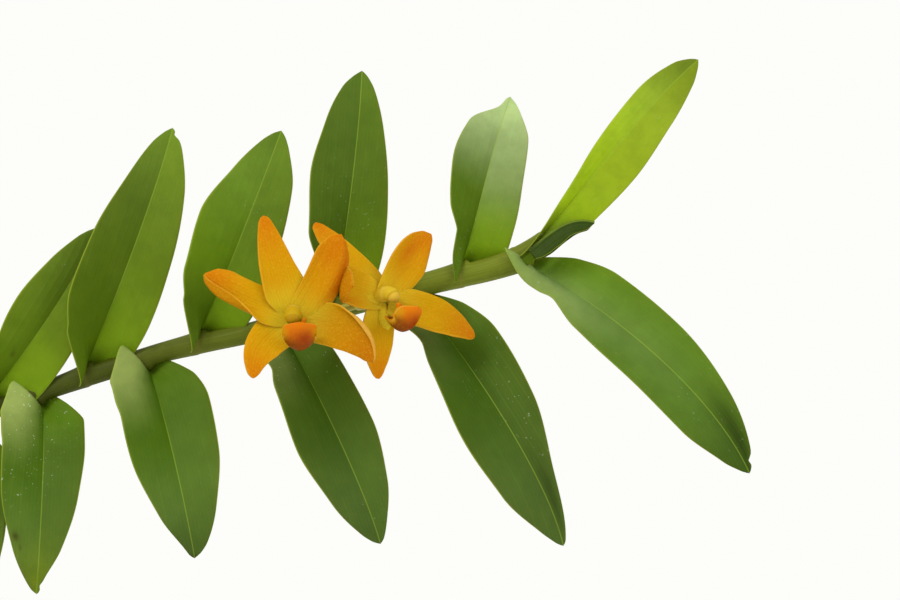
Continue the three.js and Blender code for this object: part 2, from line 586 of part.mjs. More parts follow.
/** The base of a flower, behind its centre. */
function heartSolid(flower) {
  const facing = vector(flower.faces).normalize();
  const at = (depth) => vector(flower.centre).addScaledVector(facing, -depth);
  return toSolid(drop(at(HEART.behind + HEART.half), at(HEART.behind - HEART.half), HEART.radius));
}

/** The column, thicker by `extra`. */
function columnSolid(flower, extra) {
  const { from, over, to } = flower.column;
  const points = [from, over, to].map((p) => vector(p).add(vector(flower.centre)));
  const bow = new THREE.QuadraticBezierCurve3(...points);
  const radius = throughPairs(COLUMN.radii);
  return toSolid(tubeOnCurve(bow, (t) => radius(t) + extra, COLUMN.steps, COLUMN.sides));
}

/** The lip's form: a bowl that opens upward in front of the column. */
function lipForm(flower) {
  const { base, belly, tip, near, far, curl, end } = flower.lip;
  const lead = vector(base).lerp(vector(belly), LIP.lead);
  return {
    points: [vector(base), lead, vector(belly), vector(tip)].map((p) => p.add(vector(flower.centre))),
    row: -1,
    reference: vector(flower.faces).cross(new THREE.Vector3(0, 0, 1)).normalize(),
    near,
    far,
    hug: [LIP.root, LIP.root],
    turn: [0, 0, 0, 0, 0],
    fold: LIP.fold,
    curl,
    clasp: 0,
    lobe: 0,
    end,
  };
}

/** The room that a lip and the gap around it take up. */
function lipRoom(form) {
  const [start, lead, ...rest] = form.points;
  const grow = (halves) => halves.map((half) => half + 2 * GAP);
  const room = {
    ...form,
    points: [start.clone().lerp(lead, -LIP.roomBack), lead, ...rest],
    near: grow(form.near),
    far: grow(form.far),
    hug: grow(form.hug),
  };
  return toSolid(bladeGeometry(bladeGrid(room, TEPAL_ROWS, LIP_COLUMNS), BLADE + 2 * GAP));
}

function addFlower(side) {
  const flower = FLOWERS[side];
  const centre = vector(flower.centre);
  const behind = centre.clone().addScaledVector(vector(flower.faces).normalize(), -HEART.behind);
  const chin = toSolid(drop(behind, centre.add(vector(flower.chin)), CHIN_RADIUS));
  const tepals = Object.values(flower.tepals).map((petal) => tepal(flower, petal));
  const columnRoom = columnSolid(flower, GAP);
  const form = lipForm(flower);
  const lip = toSolid(bladeGeometry(bladeGrid(form, TEPAL_ROWS, LIP_COLUMNS)));
  const perianth = fuse([heartSolid(flower), chin, ...tepals]).subtract(columnRoom).subtract(lipRoom(form));
  addPiece(`flower_${side}_perianth`, toGeometry(largest(perianth)), 'petal');
  addPiece(`flower_${side}_column`, toGeometry(columnSolid(flower, 0)), 'column');
  addPiece(`flower_${side}_lip`, toGeometry(largest(lip.subtract(columnRoom))), 'lip');
}

/** The short stalk on the cane and the two flower stalks that part from it. */
function addStalks() {
  const off = mainCane.radiusAt(STALKS.at) + GAP + STALKS.off;
  const foot = mainCane.point(STALKS.at).addScaledVector(mainCane.side, off);
  const fork = foot.clone().add(vector(STALKS.fork));
  const radius = throughPairs(STALKS.radii);
  const heartBack = HEART.behind + HEART.half + HEART.radius * DROP.ends;
  const stalks = Object.values(FLOWERS).map((flower) => {
    const facing = vector(flower.faces).normalize();
    const end = vector(flower.centre).addScaledVector(facing, -heartBack - GAP);
    const before = end.clone().addScaledVector(facing, -STALKS.straight);
    const curve = new THREE.CatmullRomCurve3([foot, fork, before, end]);
    return toSolid(tubeOnCurve(curve, radius, STALKS.steps, STALKS.sides));
  });
  addPiece('flower_stalks', toGeometry(largest(fuse(stalks))), 'stalk');
}

/** The rhizome and the roots that grow from it, each a little thicker by `extra`. */
function rhizomeSolid(extra = 0) {
  const { path, radius, waist, swellings, endTaper, steps, sides } = RHIZOME;
  const ends = (t) => 0.5 * (smooth(0, endTaper, t) + 1 - smooth(1 - endTaper, 1, t));
  const swell = (t) => waist + (1 - waist) * Math.abs(Math.cos(t * Math.PI * swellings));
  const curve = new THREE.CatmullRomCurve3(path.map(vector));
  const trunk = toSolid(tubeOnCurve(curve, (t) => radius * swell(t) * ends(t) + extra, steps, sides));
  const roots = ROOTS.map((points) => {
    const line = new THREE.CatmullRomCurve3(points.map(vector));
    const thickness = (t) => ROOT.radius * (1 - ROOT.taper * t) + extra;
    return toSolid(tubeOnCurve(line, thickness, ROOT.steps, ROOT.sides));
  });
  return fuse([trunk, ...roots]);
}

function addRhizome() {
  const rooms = caneFeet(GAP).map((foot) => foot.translate([0, 0, -GAP]));
  const clear = rooms.reduce((solid, room) => solid.subtract(room), rhizomeSolid());
  addPiece('rhizome_and_roots', toGeometry(largest(clear)), 'root');
}

/** The pot's outline from the middle of its underside, round its rim, to the middle of its floor. */
function potProfile() {
  const { height, mouthRadius, footRadius, rimHeight, rimProud, wall, floor, edge } = POT;
  const underRim = height - rimHeight;
  const neck = footRadius + ((mouthRadius - rimProud - footRadius) * underRim) / height;
  return [
    [0, 0], [footRadius - edge, 0], [footRadius, edge], [neck, underRim], [neck + rimProud, underRim + edge],
    [mouthRadius, height - edge], [mouthRadius - edge, height], [mouthRadius - wall + edge, height],
    [innerRadius(height - edge), height - edge], [innerRadius(floor + 2 * edge), floor + 2 * edge],
    [innerRadius(floor) - 2 * edge, floor], [0, floor],
  ];
}

/** Inner radius of the pot at a height. */
function innerRadius(z) {
  const foot = POT.footRadius - POT.wall;
  const mouth = POT.mouthRadius - POT.wall;
  return foot + ((mouth - foot) * (z - POT.floor)) / (POT.height - POT.floor);
}

function turned(profile, sides) {
  return new THREE.LatheGeometry(profile.map((p) => new THREE.Vector2(...p)), sides).rotateX(Math.PI / 2);
}

function addPot() {
  const { holes, holeRadius, holeCircle, holeSides, floor, sides } = POT;
  const body = toSolid(turned(potProfile(), sides));
  const drill = new THREE.CylinderGeometry(holeRadius, holeRadius, 4 * floor, holeSides).rotateX(Math.PI / 2);
  const bores = Array.from({ length: holes }, (_, i) => {
    const angle = ((i + 0.5) * 2 * Math.PI) / holes;
    return toSolid(drill).translate([holeCircle * Math.cos(angle), holeCircle * Math.sin(angle), 0]);
  });
  addPiece('pot', toGeometry(largest(body.subtract(fuse(bores)))), 'clay');
}

/** Chips of bark that stand out of the top of the mix at all angles. */
function barkChips() {
  const { top, seed, chips, chipMargin, chipTurn, chipTilt } = BARK;
  const random = seeded(seed);
  const between = ([low, high]) => low + (high - low) * random();
  const tilt = () => between([-chipTilt, chipTilt]);
  return Array.from({ length: chips }, (_, i) => {
    const distance = Math.sqrt((i + 0.5) / chips) * (innerRadius(top) - chipMargin);
    const angle = i * chipTurn * DEGREES;
    const sizes = [BARK.chipLength, BARK.chipWidth, BARK.chipThickness].map(between);
    const chip = new THREE.BoxGeometry(...sizes);
    chip.rotateX(tilt()).rotateY(tilt()).rotateZ(between([0, Math.PI]));
    chip.translate(distance * Math.cos(angle), distance * Math.sin(angle), top + between(BARK.chipLift));
    return toSolid(chip);
  });
}

function addBark() {
  const { top, room, sides } = BARK;
  const low = POT.floor + room;
  const shoulder = top - 2 * POT.edge;
  const corner = low + 3 * POT.edge;
  const core = turned([
    [0, low], [innerRadius(low) - 4 * POT.edge, low], [innerRadius(corner) - room, corner],
    [innerRadius(shoulder) - room, shoulder], [innerRadius(top) - 4 * POT.edge, top - POT.edge], [0, top],
  ], sides);
  const mix = fuse([toSolid(core), ...barkChips()]).subtract(rhizomeSolid(room));
  const clear = caneFeet(room).reduce((solid, foot) => solid.subtract(foot), mix);
  addPiece('bark_mix', toGeometry(largest(clear)), 'bark');
}

addPot();
addBark();
addRhizome();
addCanes();
addPiece('young_leafy_cane', leafyStem(youngCane), 'cane');
addPiece('new_shoot', leafyStem(shoot), 'young_leaf');
addMainLeaves();
addFoldedLeaf();
addStalks();
addFlower('left');
addFlower('right');

export default group;
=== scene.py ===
# The looks of a potted Dendrobium aurifex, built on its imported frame. Lengths here are in millimetres
# until a mesh is made. Blades are flat grids and stems are spheres, each point then put in its place.
import math
import random

import bpy
import numpy as np
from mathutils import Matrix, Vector


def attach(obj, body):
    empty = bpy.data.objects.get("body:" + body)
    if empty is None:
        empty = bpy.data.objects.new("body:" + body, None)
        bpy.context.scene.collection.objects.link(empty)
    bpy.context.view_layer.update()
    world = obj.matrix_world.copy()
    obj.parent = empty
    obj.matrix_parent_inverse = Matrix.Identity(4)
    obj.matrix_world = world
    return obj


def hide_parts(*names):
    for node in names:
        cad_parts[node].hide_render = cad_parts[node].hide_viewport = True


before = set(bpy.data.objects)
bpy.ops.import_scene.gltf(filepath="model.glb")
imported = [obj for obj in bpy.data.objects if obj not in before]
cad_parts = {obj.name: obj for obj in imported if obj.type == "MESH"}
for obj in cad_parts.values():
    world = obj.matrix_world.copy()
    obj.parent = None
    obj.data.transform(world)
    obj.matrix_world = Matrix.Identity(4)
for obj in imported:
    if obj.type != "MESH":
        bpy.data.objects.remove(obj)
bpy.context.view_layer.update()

MM = 0.001
TURN = 2 * math.pi
UP = np.array([0, 0, 1.0])

# The photograph's camera: it looks up a little at the middle of the arching cane.
PHOTO = {"pixels": 900, "mm_per_pixel": 0.21, "distance": 900, "rise": 5, "aim": (209.2, 0, 273.4)}
SENSOR = 36
FLOOR_RADIUS = 3              # in metres
LIGHTS = {                    # in metres and watts
    "soft_key": {"place": (-0.45, -0.8, 1.15), "size": 0.5, "power": 9, "colour": (1, 0.98, 0.95)},
    "side_fill": {"place": (1.1, -0.7, 0.5), "size": 0.8, "power": 3, "colour": (0.97, 0.99, 1)},
}

# Canes: the slope above level and the radius at lengths from the foot, as in the solids. Each sheath's
# mouth stands out of the next one by a `step`. `mesh` gives the rows along a round piece and around it.
MAIN_CANE = {
    "foot": (-10, 0, 84), "heading": 0, "length": 346,
    "slopes": [(0, 86), (40, 80), (90, 62), (140, 42), (190, 26), (228, 19.5), (250, 18.5), (269, 12.5),
               (287, 15), (308, 16), (327, 13), (335, 20), (341, 34), (352, 38)],
    "radii": [(0, 2.7), (8, 1.8), (210, 1.8), (240, 2), (300, 2.15), (320, 2.4), (337, 2.4), (346, 1.4)],
    "joints": [22, 48, 74, 98, 120, 141], "step": 0.14, "mesh": (520, 32),
}
OLD_CANE = {
    "foot": (-34, -5, 84), "heading": 212, "length": 150,
    "slopes": [(0, 84), (60, 72), (110, 58), (150, 44)],
    "radii": [(0, 2.8), (8, 1.9), (70, 2.2), (140, 1.7), (150, 0.8)],
    "joints": [24, 46, 68, 88, 106, 122, 136], "step": 0.45, "mesh": (220, 24),
}
YOUNG_CANE = {
    "foot": (9, 9, 84), "heading": 74, "length": 166,
    "slopes": [(0, 84), (60, 76), (120, 62), (166, 54)],
    "radii": [(0, 2.6), (8, 1.7), (90, 1.9), (160, 1.5), (166, 0.9)],
    "joints": [20, 38, 56, 74, 90, 105, 119, 133, 146, 157],
    "leaves": [74, 90, 105, 119, 133, 146, 157], "longest": 44, "step": 0.14, "mesh": (160, 20),
}
SHOOT = {
    "foot": (24, 17, 84), "heading": 38, "length": 30,
    "slopes": [(0, 70), (15, 78), (30, 84)],
    "radii": [(0, 2.3), (10, 2.1), (24, 1.6), (30, 0.7)],
    "joints": [7, 14, 22],
    "leaves": [14, 22], "longest": 20, "step": 0.14, "mesh": (160, 20),
}
JOINT_REACH = 2.4             # the length over which a sheath widens to its mouth
SHEATH_END = 0.8              # how far below its leaf a sheath ends
FLARE = {"height": 0.8, "reach": 5, "past": 1, "drop": 0.8}    # how a sheath stands off toward its leaf
CANE_GRAIN = {"height": 0.04, "pitch": 9, "seed": 3}
# Painted light: each sheath is paler toward its mouth over this length.
SHEATH_PAINTED_LIGHT = 6              # the length over which a sheath pales toward its mouth
SHEATH_RIM = 0.45             # how far a mouth's dry rim reaches
CANE_LOOKS = {
    "cane_skin": {"main": (90, 101, 16), "dark": (70, 79, 10), "light": (112, 123, 32),
                  "dry": (112, 104, 44), "aged": 0.95},
    "old_cane_skin": {"main": (176, 152, 104), "dark": (120, 98, 60), "light": (206, 188, 146),
                      "dry": (96, 76, 48)},
    "shoot_skin": {"main": (128, 150, 50), "dark": (100, 124, 40), "light": (164, 180, 90),
                   "dry": (170, 150, 100)},
}

# Where along a blade its values are given, as shares of its length.
WIDTH_AT = [0, 0.08, 0.25, 0.5, 0.75, 0.92, 1]
TURN_AT = [0, 0.08, 0.22, 0.6, 1]
FOLD_AT = [0, 0.05, 0.15, 0.5, 1]
CURL_AT = [0, 0.2, 0.5, 1]
RIM_AT = [0, 0.25, 0.5, 0.75, 1]
LEAF_GAP = 0.95               # from the cane's skin to the middle of a clasping leaf
HUG_ARC = 4.6                 # a clasping base wraps the cane for this length, then runs straight
CLASP_SHARE = 0.12            # of a leaf's length over which it opens from the cane
TIP_WIDTH = 0.5
TIP_ROUND = 1.4               # the length over which a tip is rounded
EAR = {"reach": 1.6, "growth": 1.25, "cut": 0.75}   # how the corner of a lobe at the base is cut round
STRAIGHT = [0, 0, 0, 0, 0]

# Leaves of the main cane, in order from its foot, close to the solids' own values. A leaf's near half ends
# in a `lobe` at the base, which has a round corner if it is an `ear`, and `opens` over a share of the length.
# `nicks` notch an edge: the side, the share of the length, the depth and the width. `youth` makes a leaf
# yellower, `haze` greys its outer half as a painted sheen, `depth` darkens it and darkens its near half more
# as painted shade, `glow` lights the far half of its base, `bloom` pales its near lobe, and `dust` is the
# strength of its specks. `light` is the painted light and shade of its near half, far half, base and tip.
# `marks` are dry brown spots, `painted_sheen_spots` spots of painted sheen, `warms` yellow ones and
# `painted_shade_spots` spots of
# painted shade: the place along and across, the reach each way, and the strength.
LEAF_FORM = {"lead": 1.6, "turn": [60, 66, 72, 80, 85], "fold": [20, 30, 28, 16, 8], "curl": [0, 0, 0, 0]}
UPPER = {"row": 1, "hug": (6.2, 5), "lobe": 2.8, "lobe_over": (1, 0.02, 0.14),
         "youth": 0.2, "haze": 0.06, "depth": 0.5, "glow": 0.7, "bloom": 0, "dust": 0.12,
         "light": (0.8, 0.85, 0.85, 0.9)}
LOWER = {"row": -1, "hug": (8.6, 5), "lobe": 3.5, "lobe_over": (0.9, 0.04, 0.3), "ear": True,
         "opens": 0.1, "youth": 0, "haze": 0.12, "depth": 0.6, "glow": 0.1, "bloom": 0.9, "dust": 0.35,
         "light": (0.9, 0.8, 0.9, 0.7)}
LEAVES = [
    {**UPPER, "at": 162.5, "tip": (8, -5, 50), "belly": (8, -10, 33),
     "near": [5, 8.5, 8.8, 6.5, 3.4], "far": [8, 9, 8.8, 6.6, 3.4]},
    {**LOWER, "at": 171, "tip": (8, -6, -47), "belly": (12, -16, -30),
     "near": [8, 9.4, 9.2, 6.4, 2.8], "far": [8, 9.4, 9, 6.2, 2.6]},
    {**UPPER, "at": 182, "tip": (12, -3, 49), "belly": (10, -8, 33),
     "near": [5, 8.8, 9, 6.6, 3.4], "far": [8, 9.4, 9, 6.8, 3.4]},
    {**LOWER, "at": 193, "tip": (5, -5, -46), "belly": (9, -16, -30), "hug": (7.6, 5),
     "near": [8, 9.6, 9.4, 6.6, 2.8], "far": [8.4, 9.6, 9, 6.2, 2.6]},
    {**UPPER, "at": 206, "tip": (14, -4, 47), "belly": (12, -9, 31),
     "near": [5, 9, 8.8, 6.5, 3.4], "far": [8.4, 9.6, 9.4, 7, 3.4]},
    {**LOWER, "at": 214, "tip": (2, -6, -42), "belly": (5, -17, -28),
     "near": [8.6, 9.6, 9.2, 6.2, 2.6], "far": [9, 9.6, 8.6, 5.6, 2]},
    {**UPPER, "at": 223, "tip": (22.9, -2, 35.5), "belly": (20.3, -4, 24.5), "hug": (5, 5),
     "near": [4.8, 7.2, 8.3, 6.2, 3.2], "far": [8, 8.6, 8, 6.2, 3.2], "youth": 0.4,
     "light": (1, 0.97, 0.88, 1), "marks": [(0.25, 0.3, 0.02, 0.08, 0.5)]},
    {**LOWER, "at": 232.9, "tip": (0, -5, -39), "belly": (2, -18, -27),
     "near": [8.4, 10.2, 9, 5.8, 2.4], "far": [8.6, 8.8, 7.6, 4.6, 1.2],
     "light": (0.95, 0.7, 0.95, 0.8), "nicks": [("far", 0.95, 0.4, 0.9)],
     "warms": [(1, 0, 0.22, 1.4, 0.75)],
     "marks": [(0.7, 0.8, 0.018, 0.1, 1), (0.75, 0.72, 0.012, 0.06, 0.8), (1, 0, 0.012, 1, 0.9)]},
    {**UPPER, "at": 244.7, "tip": (18.4, -4, 49), "belly": (15, -8, 33), "youth": 0.35,
     "near": [8.2, 11.2, 9.8, 6.6, 3.4], "far": [8, 9.2, 8.6, 6.5, 3.2], "nicks": [("far", 0.975, 0.5, 0.6)],
     "light": (0.75, 0.82, 0.8, 1.05)},
    {**LOWER, "at": 256.5, "tip": (10.5, -5, -39), "belly": (9, -18, -26),
     "near": [8.2, 10.6, 9.3, 5.8, 2], "far": [8.2, 10.4, 9.6, 6.6, 3.2],
     "light": (0.95, 0.78, 0.85, 0.58), "bloom": 0.8, "marks": [(1, 0, 0.02, 1, 1)]},
    {**UPPER, "at": 269.2, "tip": (17.2, 0, 42), "belly": (13, -5, 29), "youth": 0.2,
     "near": [7.6, 10.6, 10.6, 6.9, 3.2], "far": [8.2, 9.2, 8.4, 6.6, 3],
     "light": (1.38, 0.88, 0.86, 1)},
    {**LOWER, "at": 286, "tip": (20.5, -5, -43), "belly": (17, -18, -30), "lobe_over": (0.8, 0.04, 0.18),
     "near": [7.2, 9.6, 9.8, 7.2, 3.3], "far": [7, 7.8, 8.1, 5.9, 2.4],
     "light": (0.67, 0.67, 0.7, 0.63), "bloom": 0.5, "marks": [(1, 0, 0.012, 1, 0.8)]},
    {**UPPER, "at": 298.1, "tip": (6.3, 3, 48), "belly": (6, 0, 33), "youth": 0.15,
     "near": [6.4, 9.8, 9.7, 7.3, 4], "far": [7.9, 8.7, 7.7, 5.4, 2.8],
     "light": (0.74, 0.7, 0.95, 0.8)},
    {**LOWER, "at": 315, "tip": (30.5, -5, -51), "belly": (26, -18, -33), "lobe_over": (0.8, 0.04, 0.18),
     "near": [6.2, 9, 10.7, 8.8, 3.8], "far": [6.5, 9.3, 8, 3.8, 1.7],
     "light": (0.7, 0.56, 0.75, 0.62), "dust": 0.2, "bloom": 0.3,
     "painted_shade_spots": [(0.82, -0.42, 0.15, 0.42, 0.5), (0.13, -0.2, 0.05, 0.5, 0.45)]},
    {**UPPER, "at": 326.2, "tip": (10.6, 12, 36), "belly": (6.8, 4, 25.5), "hug": (7, 5),
     "haze": 1, "glow": 1, "near": [3.8, 7.6, 8.8, 7.1, 1.4], "far": [8.4, 8.6, 7.8, 6.6, 3],
     "light": (0.85, 0.86, 0.72, 1.3)},
    {**LOWER, "at": 339, "tip": (45.6, -4, -43), "belly": (34.5, -12, -20), "fold": [10, 18, 16, 14, 8],
     "hug": (9, 5), "lobe": 3.2, "lobe_over": (1, 0.02, 0.14), "nicks": [("far", 0.962, 0.4, 0.7)],
     "near": [3.8, 7.4, 8.5, 7.7, 4], "far": [6, 8.4, 8, 5.8, 2.8],
     "light": (1.14, 1.1, 1.3, 0.62), "haze": 0.04, "bloom": 0.5, "dust": 0.15,
     "painted_sheen_spots": [(0.12, 0.3, 0.2, 0.6, 0.35), (0.45, 0.1, 0.25, 0.8, 0.14)],
     "painted_shade_spots": [(0.87, -0.4, 0.17, 0.42, 0.6)]},
    {**UPPER, "at": 346, "from": (-5.9, -4.3, -4.8), "tip": (37.3, 3, 42.3), "belly": (24, 0.8, 31),
     "hug": (0.8, 2), "lobe": 0, "clasp": 0, "lead": 5, "youth": 1, "slot": "young_leaf",
     "near": [1, 2.2, 3.9, 4.7, 3], "far": [2.6, 6.3, 7.4, 5.8, 3.2],
     "light": (1.95, 1.18, 0.4, 0.8)},
]
FOLDED_LEAF = {
    "from": (-4.2, -6, -3.6), "row": 1, "lead": 4, "tip": (13.4, -1.5, 5.8), "belly": (7.4, -1, 7.6),
    "near": [2.8, 3.2, 3, 2.4, 1.8], "far": [2.8, 3.2, 3, 2.4, 1.8], "hug": (2.2, 2.2), "clasp": 0,
    "lobe": 0, "turn": [8, 8, 8, 8, 8], "fold": [70, 72, 74, 76, 76], "curl": [0, 0, 0, 0],
    "youth": 0, "haze": 0, "depth": 1, "glow": 0, "bloom": 0, "dust": 0,
    "light": (0.4, 0.4, 0.4, 0.4),
}
SMALL_LEAF = {
    "tip": (0.62, 0.72, 0.06), "belly": (0.5, 0.4, 0.16), "half": [0.6, 0.95, 1, 0.72, 0.36],
    "half_of_length": 0.19, "root": 1.6, "first": 0.32, "spread": 0.52,
}
LEAF_GRID = (84, 44)           # rows and columns of a leaf's mesh
FOLDED_GRID = (50, 30)
SMALL_GRID = (40, 20)
LEAF_SKIN = {"middle": 0.3, "margin": 0.1, "groove": 0.14, "keel": 0.3, "rib": 0.45, "veins": 0.02,
             "vein_gap": 1.5, "wave": 0.22, "waves": 2.6}
RIB_GLOW = 0.42               # how much paler the midrib is, once it has come out of the clasping base
UNDERSIDE = 0.55              # how much duller the back is

# Flowers. Places are offsets from each flower's centre. `rim_near` and `rim_far` bend the margins of a petal
# or sepal, in degrees. `warm` reddens it, `blush` gives it red-orange spots of painted shade in its folds and
# on margins turned from the light, and `light` scales its colour as painted light and shade. A column runs
# from its foot over a bend to its cap. A tooth has its foot, its tip and its radius.
FLOWERS = {
    "left": {
        "centre": (177.65, -21.6, 268.2), "faces": (0.1, -1, 0.1), "chin": (1, 1.5, -6.2),
        "tepals": {
            "dorsal_sepal": {"tip": (-6.8, -1, 20.5), "belly": (-4.3, -3, 13.5),
                             "near": [3.4, 5.1, 4.5, 3, 1.6], "far": [3.2, 4, 3, 2.1, 1.3],
                             "rim_near": [0, 20, 25, 20, 0], "warm": 0.1},
            "right_petal": {"tip": (9.1, -3, 16.5), "belly": (6.5, -2.5, 11), "rim_over": (0.42, 0.62),
                            "near": [2.6, 2.5, 2.8, 3.1, 1.9], "far": [3.5, 4.9, 5.8, 5, 2.6],
                            "rim_near": [0, 10, 20, 20, 0], "rim_far": [0, -30, -62, -62, -40],
                            "warm": 0.4, "blush": [(0.6, -0.8, 0.3, 0.3, 0.95), (0.75, 0, 0.15, 0.3, 0.3)]},
            "left_petal": {"tip": (-18.6, -2, 8.4), "belly": (-12.5, -3, 3.5), "rim_over": (0.42, 0.66),
                           "near": [3, 3.8, 4.2, 4.2, 2.6], "far": [2.8, 3.4, 3.9, 4, 2.8],
                           "rim_near": [0, 10, 90, 150, 130], "rim_far": [0, -10, -20, -30, -20],
                           "blush": [(0.72, 0.42, 0.25, 0.1, 0.4)]},
            "left_sepal": {"tip": (-8.4, -6, -13.1), "belly": (-9.2, -3.5, -6.5), "start": (-1, 0, -1),
                           "near": [3.4, 4.4, 4.2, 2.8, 1.5], "far": [3.4, 4, 3.4, 2.3, 1.3],
                           "rim_near": [0, 10, 15, 10, 0], "rim_far": [0, -10, -20, -20, 0]},
            "right_sepal": {"tip": (15.6, -2, -9.6), "belly": (12.2, -3, -2.5), "start": (1, 0, -1),
                            "near": [3.4, 4.6, 5, 3.9, 1.9], "far": [3.4, 4.4, 4.2, 3, 1.5],
                            "rim_near": [0, 0, 90, 150, 120], "rim_far": [0, -10, -15, -15, 0],
                            "rim_over": (0.68, 0.85), "warm": 0.35, "light": 0.8, "back": "pale"},
        },
        "column": ((-0.4, -0.6, 0), (-0.5, -4.2, 1.6), (-0.5, -5.4, -2)),
        "lip": {"start": (0.6, -1.4, -4.4), "belly": (1, -6.4, -9.8), "tip": (1.2, -8.4, -2),
                "near": [3, 4.3, 5.2, 5.2, 4], "far": [3, 4.3, 5.2, 5.4, 4.4],
                "curl": [0.1, 0.2, 0.26, 0.26], "end": 2.6},
        "tooth": ((1.6, -5.4, -2.6), (1.9, -5.9, -1), 0.45), "cap": (156, 118, 4), "body": (172, 138, 10),
    },
    "right": {
        "centre": (195.4, -15, 272.3), "faces": (0.6, -0.8, 0.1), "chin": (1, 0.5, -6),
        "tepals": {
            "dorsal_sepal": {"tip": (-14.2, 5, 16.2), "belly": (-9.5, -1, 10.2),
                             "near": [3.2, 3.8, 3.4, 2.6, 1.5], "rim_near": [0, -10, -15, -10, 0],
                             "rim_far": [0, 10, 15, 10, 0]},
            "right_petal": {"tip": (9.7, 6, 14), "belly": (7, 1, 9), "rim_near": [0, 15, 25, 10, 0],
                            "near": [2.8, 4.2, 5.8, 4.2, 2.2], "far": [2.8, 3.4, 3.8, 2.5, 1.3],
                            "rim_far": [0, -10, -20, -20, 0], "rim_over": (0.4, 0.9), "warm": 0.2,
                            "light": 1.08, "blush": [(0.6, 0.4, 0.2, 0.3, 0.6)]},
            "left_petal": {"tip": (-6, -9.5, 1.8), "belly": (-12, -6, 3.6), "rim_near": [0, 20, 40, 40, 20],
                           "near": [2.8, 3.6, 4.2, 4.2, 3], "far": [2.8, 3.6, 4.4, 4, 2.6],
                           "blush": [(0.7, 0.7, 0.3, 0.3, 0.6)]},
            "left_sepal": {"tip": (-1, 2, -16.4), "belly": (-1.5, 1, -11), "start": (-0.5, 0, -1),
                           "near": [3, 3.7, 3.6, 2.7, 1.4], "far": [3.4, 4.2, 3.7, 2.7, 1.4],
                           "rim_far": [0, -10, -20, -15, 0], "light": 1.1},
            "right_sepal": {"tip": (18.8, 4, -7.7), "belly": (12.5, 1, -2.6), "start": (1, 0, -1),
                            "near": [3.2, 4, 3.8, 2.7, 1.4], "far": [3, 3.9, 4.3, 3.2, 1.5],
                            "rim_near": [0, -15, -30, -25, 0], "rim_far": [0, 10, 25, 40, 20], "light": 0.86},
        },
        "column": ((-1, -0.4, 0.2), (1.4, -2.8, 1.8), (2.6, -4, -0.6)),
        "lip": {"start": (1.5, -1.8, -4), "belly": (4.6, -5.4, -9.4), "tip": (7.3, -6.6, -2.2),
                "near": [2.2, 3.4, 4.5, 4.4, 3.4], "far": [2.6, 3.8, 4.4, 3.8, 2.4],
                "curl": [0.14, 0.26, 0.32, 0.3], "end": 1.6},
        "tooth": ((3.5, -4.8, -3.4), (3.3, -5.2, -1.4), 0.8), "cap": (196, 160, 50), "body": (190, 160, 34),
    },
}
TEPAL = {"row": 1, "start": (0, 0, 0), "lead": 0.5, "hug": (2.2, 2.2), "end": 0.9, "clasp": 0, "lobe": 0,
         "turn": STRAIGHT, "fold": STRAIGHT, "curl": [0, 0.05, 0.06, 0.03], "rows": 56, "columns": 36,
         "middle": 0.32, "margin": 0.16, "veins": 0.012, "vein_gap": 0.9, "groove": 0.12, "groove_width": 0.5}
LIP = {"row": -1, "lead": 0.55, "hug": (1.6, 1.6), "clasp": 0, "lobe": 0, "turn": STRAIGHT,
       "fold": [5, 8, 8, 8, 5], "rows": 48, "columns": 48, "middle": 0.3, "margin": 0.16,
       "ridge": 0.35, "ridge_off": 0.7, "ridge_width": 0.35, "patch": (0.7, -0.15, 0.16, 0.36, 0.85)}
COLUMN = {"radii": [(0, 1.3), (0.45, 1.65), (0.8, 1.6), (0.84, 1.45), (0.92, 1.3), (1, 0.9)],
          "hollow": 0.22, "mesh": (36, 28)}
HEART = {"radius": 2.3, "back": 3.3, "front": 0.5, "chin_root": 1.5, "chin_radius": 1.7, "mesh": (20, 24)}
TOOTH_MESH = (16, 18)
STALKS = {"at": 306.5, "off": 0.65, "fork": (-0.6, -3, -0.8), "straight": 5, "end": 3.78,
          "radii": [(0, 1.2), (0.25, 0.9), (0.6, 0.9), (0.9, 1.35), (1, 1.35)], "grooves": 6,
          "groove": 0.06, "mesh": (60, 24)}

# Pot, bark and roots. A turned outline has a point at least every `row` and is turned in `sides` steps. The
# pot's faces are shaded as one where they meet under less than the angle `smooth`, in degrees.
POT = {"height": 95, "mouth": 55, "foot": 38, "rim": 14, "proud": 2.6, "wall": 4.5, "floor": 6, "edge": 1,
       "round": 1.6, "hole": 4.5, "circle": 20, "holes": 4, "row": 3, "sides": 112, "smooth": 40}
BARK = {"top": 82, "bed": 80.2, "chips": 190, "seed": 5, "reach": 45.5, "row": 4, "sides": 64}
CHIP = {"kinds": 7, "sizes": [(8, 13), (5, 8.5), (2.6, 4.6)], "bevel": 0.7, "scale": (0.75, 1.1),
        "lift": (-2.4, 0.4), "tilt": 0.45, "rim": 6, "rim_tilt": 0.2}
GOLDEN_ANGLE = 2.39996
RHIZOME = {"path": [(-42, -8, 79.6), (-34, -5, 80.9), (-10, 0, 80.7), (9, 9, 80.8), (24, 17, 80.9),
                    (31, 21, 79.8)], "radius": 2.8, "waist": 0.78, "swellings": 5, "mesh": (140, 28)}
ROOTS = [
    [(-36, -6, 80), (-40, -16, 82.5), (-34, -29, 83), (-22, -38, 80)],
    [(-12, 0, 80), (-16, 12, 82.5), (-27, 23, 83), (-36, 30, 79.5)],
    [(-6, 0, 80), (2, -12, 83), (15, -22, 82.5), (27, -33, 79.5)],
    [(12, 10, 80), (22, 4, 82.5), (34, -4, 83), (42, -14, 79.5)],
    [(6, 9, 80), (0, 20, 82.8), (4, 32, 83), (14, 42, 79.5)],
]
ROOT = {"radius": 1.15, "taper": 0.35, "mesh": (110, 18)}


